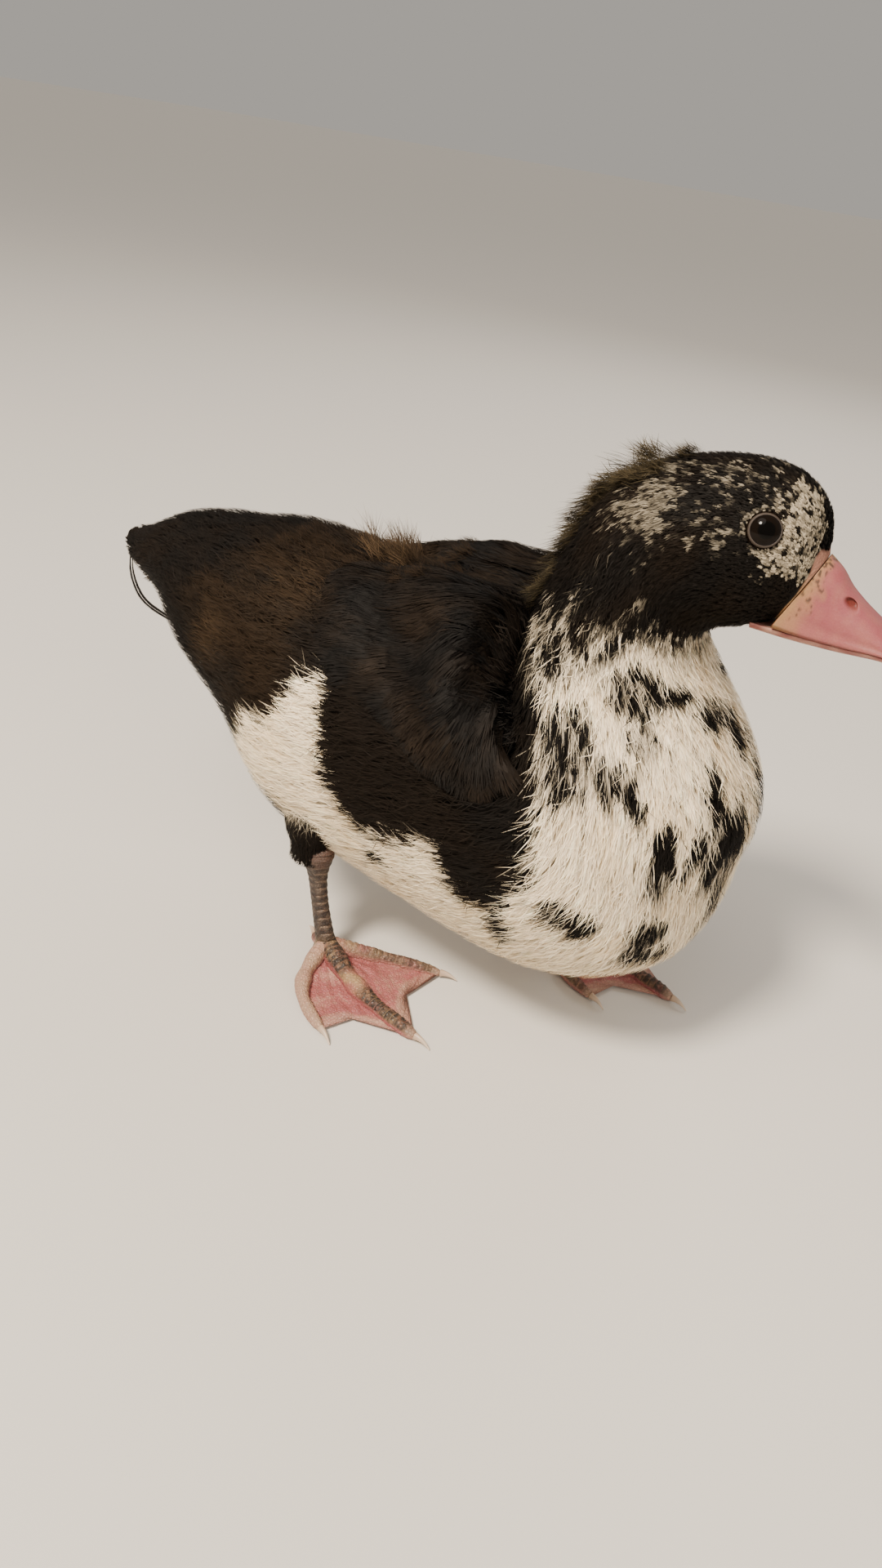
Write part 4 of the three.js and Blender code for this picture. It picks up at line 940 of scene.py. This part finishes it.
eyeFinish = Finish("eyeFinish", Roughness=0.04, Specular_IOR_Level=0.1)
eyeFinish.paint()
lidFinish = Finish("lidFinish", Roughness=0.6)
wrinkle = lidFinish.noise(3500.0, 2.0)
lidFinish.paint(0.3, wrinkle)
lidFinish.bump(wrinkle, 0.4, 0.0003)
for title, sign in (("left", 1), ("right", -1)):
    seat, out, ahead = eyeSeat(sign)
    centre = seat - out * eye["sunk"]
    ballGrid = ball(centre, out, (eye["radius"],) * 3, 64, 80)
    fromMiddle = np.linalg.norm(np.cross(ballGrid - centre, out), axis=-1)
    tone = blend(eye["pupil"], eye["iris"], ramp(eye["pupilRadius"], eye["pupilRadius"] + 0.3, fromMiddle))
    solidPiece("eyeball_" + title, [(ballGrid, tone)], eyeFinish, "eye_" + title)
    # the lids: a ring round the eye, flat on the head outside and with a fine dark edge inside
    rows, columns = 96, 20
    angle, cross = wound(np.linspace(0, 2 * pi, rows, endpoint=False), columns)
    thick = eye["lidThick"]
    radius = eye["lidRadius"] + 0.35 * thick + thick * 1.15 * (1 + 0.25 * np.sin(angle) ** 2) * np.cos(cross)
    height = eye["lidLift"] + 0.1 + 0.62 * thick * np.sin(cross) - 0.5 * np.maximum(np.cos(cross), 0) ** 2
    aheadness = np.cos(angle)[..., None] * ahead + np.sin(angle)[..., None] * np.cross(out, ahead)
    stretched = radius * (1 + 0.05 * np.cos(angle) ** 2)
    ringGrid = seat + aheadness * stretched[..., None] + out * height[..., None]
    tone = blend(eye["lidTone"], eye["lidEdge"], ramp(-0.1, -0.75, np.cos(cross)))
    points = ringGrid.reshape(-1, 3)
    faces = gridTriangles(rows + 1, columns)
    faces = np.where(faces >= len(points), faces - len(points), faces)  # the last row is the first again
    meshFrom("eyelids_" + title, points, outward(points - seat, faces), lidFinish,
             tone.reshape(-1, 3))
print("bill and eyes")

# legs: shanks, feet and claws. A toe has its degrees aside, length, bow and number of joints
legs = {
    "right": {"sign": -1, "joint": (-29, -47), "heading": -13.6, "shankTop": (-38, -48, 43),
              "toes": [(43, 46, 2, 3), (0, 55, -3, 4), (-39, 42, -8, 4)]},
    "left": {"sign": 1, "joint": (34, 34), "heading": -4.9, "shankTop": (24, 37, 31),
             "toes": [(38, 40, 7, 3), (0, 55, -1, 4), (-37, 43, -6, 4)]},
}
shank = {"low": 4.4, "high": 3.9, "ankle": 2.9, "plates": 15, "relief": 0.45,
         "dark": (0.022, 0.015, 0.012), "pale": (0.20, 0.14, 0.10), "bare": (0.085, 0.048, 0.036)}
foot = {"root": 4.2, "tip": 2.5, "rise": 4.6, "plate": 2.6, "relief": 0.34, "slimToes": 0.78, "ball": (5.2, 5.2, 5.4),
        "hindLength": 13, "hindTurn": 162, "webThick": 1.0, "webScoop": 0.24, "webSag": 0.9, "webCreases": 34,
        "pink": (0.33, 0.098, 0.096), "tan": (0.34, 0.21, 0.105), "stripe": (0.026, 0.017, 0.012),
        "pale": (0.42, 0.27, 0.19)}


def wayAt(degrees):
    # level direction at so many degrees from straight ahead
    return np.array([cos(radians(degrees)), sin(radians(degrees)), 0])


def toeAxis(leg, toe, t):
    spread, length, bow = toe[:3]
    angle = radians(leg["heading"] - leg["sign"] * spread)
    aside = -leg["sign"] * bow * np.sin(pi * t)
    height = mix(foot["root"], foot["tip"], t) - 0.35 + foot["rise"] * (1 - np.minimum(t, 1)) ** 4
    return np.stack([leg["joint"][0] + length * t * cos(angle) - aside * sin(angle),
                     leg["joint"][1] + length * t * sin(angle) + aside * cos(angle), height], -1)


def footTone(t, angle, grid, toe):
    # pink below; on top brown at the joint, then a tan knuckle and dark plates with pale creases, paler on the
    # outer toe
    noise, fine = waves(grid, 7, 41), waves(grid, 2, 42)
    top = ramp(0.0, 0.55, np.sin(angle))
    tone = blend(foot["pink"], foot["tan"], top * (0.6 + 0.25 * noise))
    role = int(np.sign(toe[0]))  # 0 middle, 1 inner or hind, -1 outer
    tone = blend(tone, foot["pale"], {0: 0.0, 1: 0.35, -1: 0.75}[role])
    dark = {0: np.clip(ramp(0.36, 0.27, t) + ramp(0.46, 0.54, t), 0, 1), 1: 0.8 * ramp(-0.1, 0.6, t),
            -1: 0.05 + 0 * t}[role]
    crease = ramp(0.82, 0.96, (t * round(toe[1] / foot["plate"])) % 1)
    dark = ramp(0.0, 0.5, np.sin(angle)) * dark * (1 - 0.45 * crease) * np.clip(0.9 + 0.2 * fine, 0, 1)
    tone = blend(tone, foot["stripe"], dark)
    return blend(tone, foot["pale"], 0.7 * ramp(0.9, 1.0, t))


def shankPart(leg):
    # overlapping plates down the front, small grains behind, and the thicker bare ankle at the top
    bottom, top = np.array([*leg["joint"], 6.0]), np.array(leg["shankTop"]) + np.array([0, 0, 8.0])
    middle = (bottom + top) / 2 + np.array([-1.2, 0, 0])
    t, a = wound(np.linspace(0, 1, 220), 64)
    centre = curve([bottom, middle, top], t[:, 0])
    ahead = unit(np.gradient(centre, axis=0))
    front = wayAt(leg["heading"])
    frontWay = unit(front - ahead * (ahead @ front)[:, None])
    facing = ramp(0.35, 0.8, np.cos(a))
    step = (t * shank["plates"] + 0.12 * np.sin(3 * a)) % 1
    size = mix(shank["low"], shank["high"], t) * (1 - 0.2 * np.sin(pi * np.clip(t / 0.85, 0, 1)))
    size = size + shank["ankle"] * np.exp(-((t - 0.9) / 0.14) ** 2)
    plates = shank["relief"] * (1 - step) - 0.25 * ramp(0.86, 0.98, step)
    size = size + facing * plates + (1 - facing) * 0.12 * np.sin(a * 11) * np.sin(t * 120)
    grid = rings(centre, frontWay, np.cross(ahead, frontWay), size * np.cos(a) * 1.06, size * np.sin(a) * 0.9)
    edge = ramp(0.62, 0.86, step) * facing
    tone = blend(shank["dark"], shank["pale"], 0.9 * edge + 0.12 + 0.1 * waves(grid, 3, 40))
    tone = blend(tone, shank["bare"], ramp(0.74, 0.9, t) * 0.9)
    return grid, blend(tone, foot["tan"], ramp(0.2, 0.02, t) * 0.6)


def toePart(leg, toe):
    # a toe with knuckles and a round end, plated on top
    bends, plates, slim = toe[3] - 1, round(toe[1] / foot["plate"]), 1.0 if toe[0] == 0 else foot["slimToes"]
    size = lambda t: (slim * mix(foot["root"], foot["tip"], t)
                      * (1 + 0.1 * np.sin(pi * (2 * bends * t - 0.5)) * (1 - 0.3 * t)
                         + 0.16 * np.exp(-((t - 0.42) / 0.06) ** 2)) * tipRounding(t, 0.93, 0.085))
    relief = lambda t, a: (foot["relief"] * ramp(0.35, 0.85, np.sin(a)) * (1 - (t * plates) % 1) * ramp(0.02, 0.1, t)
                           * ramp(0.97, 0.9, t) + 0.08 * np.sin(a * 7 + 1) * np.sin(t * plates * 6))
    grid, t, a = alongPath(lambda t: toeAxis(leg, toe, t), size, 48, 150, relief)
    return grid, footTone(t, a, grid, toe)


def webPart(leg, first, second):
    # from toe to toe, scooped at its front edge, sagging a little, with fine creases
    t, u = np.meshgrid(np.linspace(0.02, 1, 70), np.linspace(0, 1, 120, endpoint=False), indexing="ij")
    share = np.where(u < 0.5, 2 * u, 2 - 2 * u)
    reach = t * (1 - foot["webScoop"] * np.sqrt(np.maximum(np.sin(pi * share), 0)) * t)
    web = blend(toeAxis(leg, first, reach), toeAxis(leg, second, reach), share)
    bulge = np.sin(pi * share)
    folds = np.sin(share * foot["webCreases"] + 2.5 * np.sin(t * 5))
    crease = 0.10 * folds * bulge + 0.16 * waves(web, 5, 43)
    web[..., 2] = np.maximum(0.25, web[..., 2] - foot["webSag"] * bulge - 0.9)
    web[..., 2] += np.where(u > 0.5, 0, foot["webThick"] * np.maximum(0.5, bulge) + crease * ramp(0, 0.1, bulge))
    noise, fine = waves(web, 12, 44), waves(web, 2.5, 45)
    tone = blend(foot["pink"], foot["pale"], 0.12 + 0.16 * noise + 0.1 * fine + 0.45 * ramp(0.93, 1, t))
    # the tone rises and falls with the creases, painted shade along the folds; the noise is random tone
    return web, tone * (0.97 + 0.04 * np.sin(share * foot["webCreases"]) + 0.05 * noise)[..., None]


scaleFinish = Finish("scaleFinish", Roughness=0.5, Specular_IOR_Level=0.4, Subsurface_Weight=0.06,
                     Subsurface_Scale=0.0015)
cells = scaleFinish.node("ShaderNodeTexVoronoi", {"feature": "DISTANCE_TO_EDGE"}, Vector=scaleFinish.coords,
                         Scale=820.0)
crease = scaleFinish.node("ShaderNodeMapRange", {}, Value=cells, From_Min=0.0, From_Max=0.22, To_Min=0.0, To_Max=1.0)
scaleFinish.paint(0.28 - 0.28 * crease, (0.05, 0.03, 0.025, 1), "MIX")
scaleFinish.put("Roughness", 0.62 - 0.2 * crease)
scaleFinish.bump(crease, 0.45, 0.0005)

for title, leg in legs.items():
    solidPiece("shankSkin_" + title, [shankPart(leg)], scaleFinish, "shank_" + title)
    toes = leg["toes"]
    parts = [toePart(leg, toe) for toe in toes] + [webPart(leg, *toes[k:k + 2]) for k in (0, 1)]
    hindWay = wayAt(leg["heading"] - leg["sign"] * foot["hindTurn"])
    hindPath = lambda t: (np.array([*leg["joint"], 0.0]) + hindWay * (foot["hindLength"] * t)[..., None]
                          + np.array([0, 0, 1.0]) * mix(8, 1.9, 1 - (1 - t) ** 2)[..., None])
    grid, t, a = alongPath(hindPath, lambda t: mix(2.8, 2.1, t) * tipRounding(t, 0.85, 0.17), 36, 50)
    parts.append((grid, footTone(t, a, grid, (1, foot["hindLength"]))))
    joint = ball((*leg["joint"], 5.0), (0, 0, 1), foot["ball"])
    joint[..., 2] = np.clip(joint[..., 2], 0, 8.9)
    jointTone = blend(foot["tan"], foot["stripe"], 0.55 + 0.4 * waves(joint, 3, 46))
    parts.append((joint, blend(foot["pink"], jointTone, ramp(3.0, 6.5, joint[..., 2]))))
    solidPiece("webbedFoot_" + title, parts, scaleFinish, "foot_" + title)
    # tips of the digits, with the level ways in which the claws go on
    tips = [(toeAxis(leg, toe, np.array(1.0)), toeAxis(leg, toe, np.array(0.9))) for toe in toes]
    leg["tips"] = [(tip, unit((tip - before) * (1, 1, 0))) for tip, before in tips]
    leg["tips"].append((hindPath(np.array(1.0)), hindWay))
print("legs and feet")

clawLook = {"length": 7.4, "radius": 1.75, "narrowing": 0.86, "root": (0.42, 0.29, 0.20), "tip": (0.62, 0.50, 0.38)}
clawFinish = Finish("clawFinish", Roughness=0.35, Specular_IOR_Level=0.5)
clawFinish.paint()
clawFinish.put("Roughness", 0.28 + 0.2 * clawFinish.noise(1500.0))
for title, leg in legs.items():
    for digit, (tip, way) in zip(("inner", "middle", "outer", "hind"), leg["tips"]):
        # a horn that narrows and curves down to the floor
        t, angle = wound(np.linspace(0, 1, 40), 32)
        side = np.array([-way[1], way[0], 0])
        centre = tip + way * (0.2 + clawLook["length"] * 0.97 * t)[..., None]
        centre[..., 2] = np.maximum(0.3, tip[2] + 0.5 * np.sin(pi * t) - (tip[2] - 0.5) * t * t)
        radius = clawLook["radius"] * (1 - clawLook["narrowing"] * t**0.9)
        grid = centre + side * (0.8 * radius * np.cos(angle))[..., None]
        grid[..., 2] = np.maximum(0.05, grid[..., 2] + radius * np.sin(angle) * (1 - 0.2 * (np.sin(angle) < 0)))
        solidPiece(f"clawHorn_{digit}_{title}", [(grid, blend(clawLook["root"], clawLook["tip"], t))], clawFinish,
                   f"claw_{digit}_{title}")

# thighs: down over a cone from the flank to the top of the shank
thighLook = {"bottom": 8.0, "top": 16, "height": 26, "start": 9.0, "depth": 1.6, "tufts": 18000, "length": 9.0,
             "width": 0.36, "tips": (0.8, 2.2)}


def thighTone(normals, t, grain, frontOut):
    # dark below and behind, white like the belly above and in front
    facing = normals @ frontOut
    whiteness = 1.6 * (t - 0.62) * ramp(-0.3, 0.4, facing) - 0.25 * (facing < 0) + 0.12 * grain
    dark = blend(hue["black"], hue["brownBlack"], 0.5 + 0.4 * grain)
    return blend(dark, hue["white"], ramp(-0.2, 0.2, whiteness))


for title, leg in legs.items():
    x, y, z = leg["shankTop"]
    z, high = z + thighLook["start"], thighLook["height"]
    knots = np.array([[x - 2, y, z], [x - 4, y * 0.93, z + high * 0.4], [x - 8, y * 0.7, z + high]])
    cuffPlaces, cuffAngles = np.linspace(-0.3, 1, 70), np.linspace(0, 2 * pi, 65)
    t, a = np.meshgrid(cuffPlaces, cuffAngles, indexing="ij")
    centre = curve(knots, cuffPlaces) + np.minimum(cuffPlaces, 0)[:, None] * np.array([0, 0, high])
    ahead = unit(np.gradient(centre, axis=0))
    level = unit(np.cross(ahead, (1.0, 0, 0)))
    radius = mix(thighLook["bottom"], thighLook["top"], np.maximum(t, 0) ** 0.9) - thighLook["depth"]
    grid = rings(centre, level, np.cross(ahead, level), radius * np.cos(a), radius * np.sin(a))
    cuff = Chart(grid, cuffPlaces, cuffAngles)
    if (cuff.normals[30, :-1] * (grid[30, :-1] - centre[30])).sum() < 0:
        cuff.normals = -cuff.normals
    frontOut = unit(np.array([0.5, leg["sign"], 0.2]))
    skinRows = cuffPlaces >= 0  # the chart starts lower, for tufts that hang over the shank
    points, faces, spots = closedTube(grid[skinRows][:, :-1])
    tone = thighTone(cuff.normals, t, 0 * t, frontOut)[skinRows][:, :-1].reshape(-1, 3)[spots]
    uvs = chartUv(a / (2 * pi), t)[skinRows][:, :-1].reshape(-1, 2)[spots]
    faces = outward(points, faces)
    thighSkin = meshFrom("thighSkin_" + title, points, faces, skinFinish, tone, uvs)
    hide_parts("thigh_" + title)
    place, angle = cuff.scatter(thighLook["tufts"], np.where(t > 0.0, 1.0, 0.0))
    n = place.shape
    length = thighLook["length"] * dice.uniform(0.7, 1.2, n)
    tip = dice.uniform(*thighLook["tips"], n)
    corners = kites(cuff, place, angle, dice.normal(0, 0.2, n), length,
                    thighLook["width"] * dice.uniform(0.7, 1.3, n), -0.3 + 0 * tip, 0.6 * tip, tip,
                    dice.normal(0, 0.2, n), dice.normal(0, 0.3, n))
    tone = thighTone(cuff.look(cuff.normals, place, angle), place, dice.normal(0, 1, n), frontOut)
    coatPieces("thighDown_" + title, corners, tone, chartUv(angle / (2 * pi), place),
               coatNormals(cuff, place, angle, 0.2))

# tail: larger feathers in tiers, each with its count, length, width, start, drop and rise
tailLook = {
    "rootX": -128, "rootZ": 124, "rootHalf": 17, "rootArch": 6, "fan": 22, "tilt": 42, "droop": 6, "taper": 0.66,
    "barbs": 230, "barbWidth": 0.75, "split": 0.04, "shaft": 0.3, "shaftSteps": 5,
    "tone": (0.0075, 0.0062, 0.0054), "edge": (0.050, 0.036, 0.024),
    "tiers": {"quills": (10, 56, 9, 0, -4, 1), "second": (9, 51, 10, -1, 0, 0), "upper": (9, 43, 11, -2, 6, -3),
              "third": (8, 33, 12, -3, 12, -3), "lowest": (9, 42, 10, 2, -7, 3), "under": (8, 30, 11, 2, -11, 4)},
}
# a loose narrow feather hangs in an arc below the tail tip, and a small one curls up at the tip
strayLook = {
    "barbs": 520, "barbWidth": 1.2,
    "feathers": [
        {"length": 46, "width": 2.4, "arc": [
            [-182, -3.5, 118], [-184, -7, 112.5], [-181, -10, 106], [-175.5, -11.7, 99.5], [-170, -11.3, 95],
            [-162, -9.5, 92], [-153, -6.5, 89]]},
        {"length": 9, "width": 2.8, "arc": [
            [-181.5, -4, 116], [-184.5, -5, 117.5], [-186.6, -5, 119.4], [-187, -4, 121.6]]},
    ],
}


def vaneBarbs(at, length, width, barbs, barbWidth):
    # at(along, across, height) gives points; barbs leave the shaft forward and outward and end on the outline
    count, split = len(length), tailLook["split"]
    s = (np.arange(barbs) // 2 + 0.5) / (barbs / 2)
    sign = np.where(np.arange(barbs) % 2 == 0, 1.0, -1.0)
    s = np.clip(np.broadcast_to(s, (count, barbs)) + dice.normal(0, 0.25 / barbs, (count, barbs)), 0, 1)
    long, wide = length[:, None], width[:, None]
    reach = np.sqrt(np.clip(1 - np.abs(2 * (s * 0.97 + 0.03) - 1) ** 2.6, 0.02, 1)) * 0.5
    start = s * 0.9
    end = np.minimum(start + 0.10 + 0.16 * (1 - s), 1.0) * (1 + dice.normal(0, split * 0.3, s.shape))
    outer = sign * reach * (1 + dice.normal(0, split, s.shape)) * np.where(s > 0.93, 0.5, 1)
    rows = []
    for share, half in ((0.0, 0), (0.5, -0.5), (0.5, 0.5), (1.0, 0)):
        a = mix(start, end, share) * long + half * barbWidth
        b = outer * wide * share**0.85
        rows.append(at(a, b, -0.03 * wide * share**2 + dice.normal(0, 0.03, s.shape)))
    return np.stack(rows, 2).reshape(-1, 4, 3), np.repeat(np.arange(count), barbs), s.ravel()


def shafts(at, length):
    # the rachis of each feather, as a row of narrow kites
    out, steps = [], np.linspace(0, 0.96, tailLook["shaftSteps"] + 1)
    for here, onward in zip(steps[:-1], steps[1:]):
        a, b = here * length[:, None], (onward + 0.06) * length[:, None]
        w, h = tailLook["shaft"] * (1 - here * 0.8), 0 * a + 0.12
        out.append(np.concatenate([at(mix(a, b, share), 0 * a + half * w, h)
                                   for share, half in ((0, 0), (0.4, -1), (0.4, 1), (1, 0))], 1))
    return np.concatenate(out)


tailCorners, tailTone, tailUv = [], [], []
darkTone, edgeTone = np.array(tailLook["tone"]), np.array(tailLook["edge"])
for row, (name, (count, reach, wide, start, drop, rise)) in enumerate(tailLook["tiers"].items()):
    share = np.linspace(-1, 1, count) + dice.normal(0, 0.02, count)
    fan = share * radians(tailLook["fan"]) * (1 if name == "quills" else 0.9) + dice.normal(0, 0.03, count)
    root = np.stack([tailLook["rootX"] + start + dice.normal(0, 1, count), tailLook["rootHalf"] * share,
                     tailLook["rootZ"] + drop - tailLook["rootArch"] * share**2], -1)
    length = reach * (1 - tailLook["taper"] * share**2) * dice.uniform(0.95, 1.04, count)
    tilt = share * radians(tailLook["tilt"])

    def tailPoint(a, b, h):
        aside = np.sin(fan)[:, None] * a + (np.cos(fan) * np.cos(tilt))[:, None] * b
        out = np.cos(fan)[:, None] * a - (np.sin(fan) * np.cos(tilt))[:, None] * b
        part = a / length[:, None]
        fall = rise * part - tailLook["droop"] * share[:, None] ** 2 * part - b * np.sin(tilt)[:, None]
        h = h - 0.02 * b * b  # the edges of a feather bend down
        return np.stack([root[:, None, 0] - out, root[:, None, 1] + aside + h * np.sin(tilt)[:, None],
                         root[:, None, 2] + fall + h + 0.3 * (np.arange(count) % 2)[:, None]], -1)

    corners, owner, s = vaneBarbs(tailPoint, length, np.full(count, wide), tailLook["barbs"], tailLook["barbWidth"])
    spine = shafts(tailPoint, length)
    tone = blend(darkTone, edgeTone, 0.12 + 0.5 * (s > 0.87) + dice.normal(0, 0.12, s.shape))
    base = np.stack([0.05 + 0.9 * (share + 1) / 2, np.full(count, 0.05 + 0.9 * row / 7)], -1)
    tailCorners += [corners, spine]
    tailTone += [tone * dice.uniform(0.75, 1.2, count)[owner][:, None], np.tile(darkTone * 0.8, (len(spine), 1))]
    tailUv += [base[owner], np.tile(base, (tailLook["shaftSteps"], 1))]
for stray in strayLook["feathers"]:
    long, wide = (np.array([float(stray[key])]) for key in ("length", "width"))
    alongArc = lambda a: curve(stray["arc"], np.clip(a / stray["length"], 0, 1))
    arcPoint = lambda a, b, h: alongArc(a) + b[..., None] * unit(
        np.cross(alongArc(a + 0.5) - alongArc(a - 0.5), (0.6, -0.6, 0.5)))
    corners, *_ = vaneBarbs(arcPoint, long, wide, strayLook["barbs"], strayLook["barbWidth"])
    tailCorners.append(corners)
    tailTone.append(np.tile(darkTone, (len(corners), 1)))
    tailUv.append(np.tile([0.5, 0.95], (len(corners), 1)))
tailPieces = coatPieces("tailFeathers", np.concatenate(tailCorners), np.concatenate(tailTone), np.concatenate(tailUv),
                        None, 0.8, 1.2)
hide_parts("tail")
print("tail")

# floor, light and camera
studio = {"floorHalf": 40.0, "floorTone": (0.62, 0.585, 0.54, 1), "air": (0.92, 0.865, 0.79, 1), "airStrength": 0.46,
          "sunStrength": 1.1, "sunSpread": 40, "sunColour": (1.0, 0.93, 0.84), "sunTurn": (30, 0, -15)}
half = studio["floorHalf"]
floorMesh = bpy.data.meshes.new("floor")
floorMesh.from_pydata([(-half, -half, 0.0), (half, -half, 0.0), (half, half, 0.0), (-half, half, 0.0)], [],
                      [(0, 1, 2, 3)])
floorFinish = Finish("floorFinish", Roughness=0.75, Specular_IOR_Level=0.3)
floorFinish.put("Base Color", studio["floorTone"])
floorMesh.materials.append(floorFinish.material)
floor = intoScene("floor", floorMesh)

world = bpy.data.worlds.new("studio")
bpy.context.scene.world = world
world.use_nodes = True
world.node_tree.nodes["Background"].inputs["Color"].default_value = studio["air"]
world.node_tree.nodes["Background"].inputs["Strength"].default_value = studio["airStrength"]


def softLight(name, at, target, size, watts, colour):
    light = bpy.data.lights.new(name, "AREA")
    light.shape, light.size, light.energy, light.color = "DISK", size, watts, colour
    lamp = intoScene(name, light)
    lamp.location = at
    lamp.visible_glossy = name == "keyLight"  # one small highlight in each eye
    way = np.array(target) - np.array(at)
    way = way / np.linalg.norm(way)
    lamp.rotation_euler = (np.arccos(-way[2]), 0, np.arctan2(way[1], way[0]) - pi / 2)


softLight("keyLight", (-0.15, -0.95, 1.35), (0.02, 0, 0.1), 0.35, 50, (1.0, 0.885, 0.735))
softLight("fillLight", (1.3, -0.6, 0.8), (0.02, 0, 0.1), 1.2, 10, (1.0, 0.94, 0.86))
skyLight = bpy.data.lights.new("skyLight", "SUN")
skyLight.energy, skyLight.angle = studio["sunStrength"], radians(studio["sunSpread"])
skyLight.color = studio["sunColour"]
intoScene("skyLight", skyLight).rotation_euler = [radians(turn) for turn in studio["sunTurn"]]
softLight("rimLight", (-0.2, 1.3, 1.1), (0.0, 0, 0.12), 0.9, 9, (1.0, 0.95, 0.9))

# the camera, stated in the bird's own frame as the photo was worked out
view = {"at": (170.4, -323.1, 285.0), "right": (0.8148, 0.5631, 0.1378), "up": (-0.3865, 0.3505, 0.8532),
        "ahead": (-0.4321, 0.7484, -0.5032), "focal": 1340 / 1920 * 36}
camera = bpy.data.cameras.new("camera")
camera.sensor_fit, camera.sensor_width, camera.sensor_height = "AUTO", 36, 36
camera.lens, camera.clip_start = view["focal"], 0.01
eyePoint = intoScene("camera", camera)
at = (np.array(view["at"]) + shift) * 0.001
axes = np.stack([view["right"], view["up"], -np.array(view["ahead"]), at], -1)
eyePoint.matrix_world = Matrix([*axes.tolist(), [0, 0, 0, 1]])
bpy.context.scene.camera = eyePoint
print("stage set")
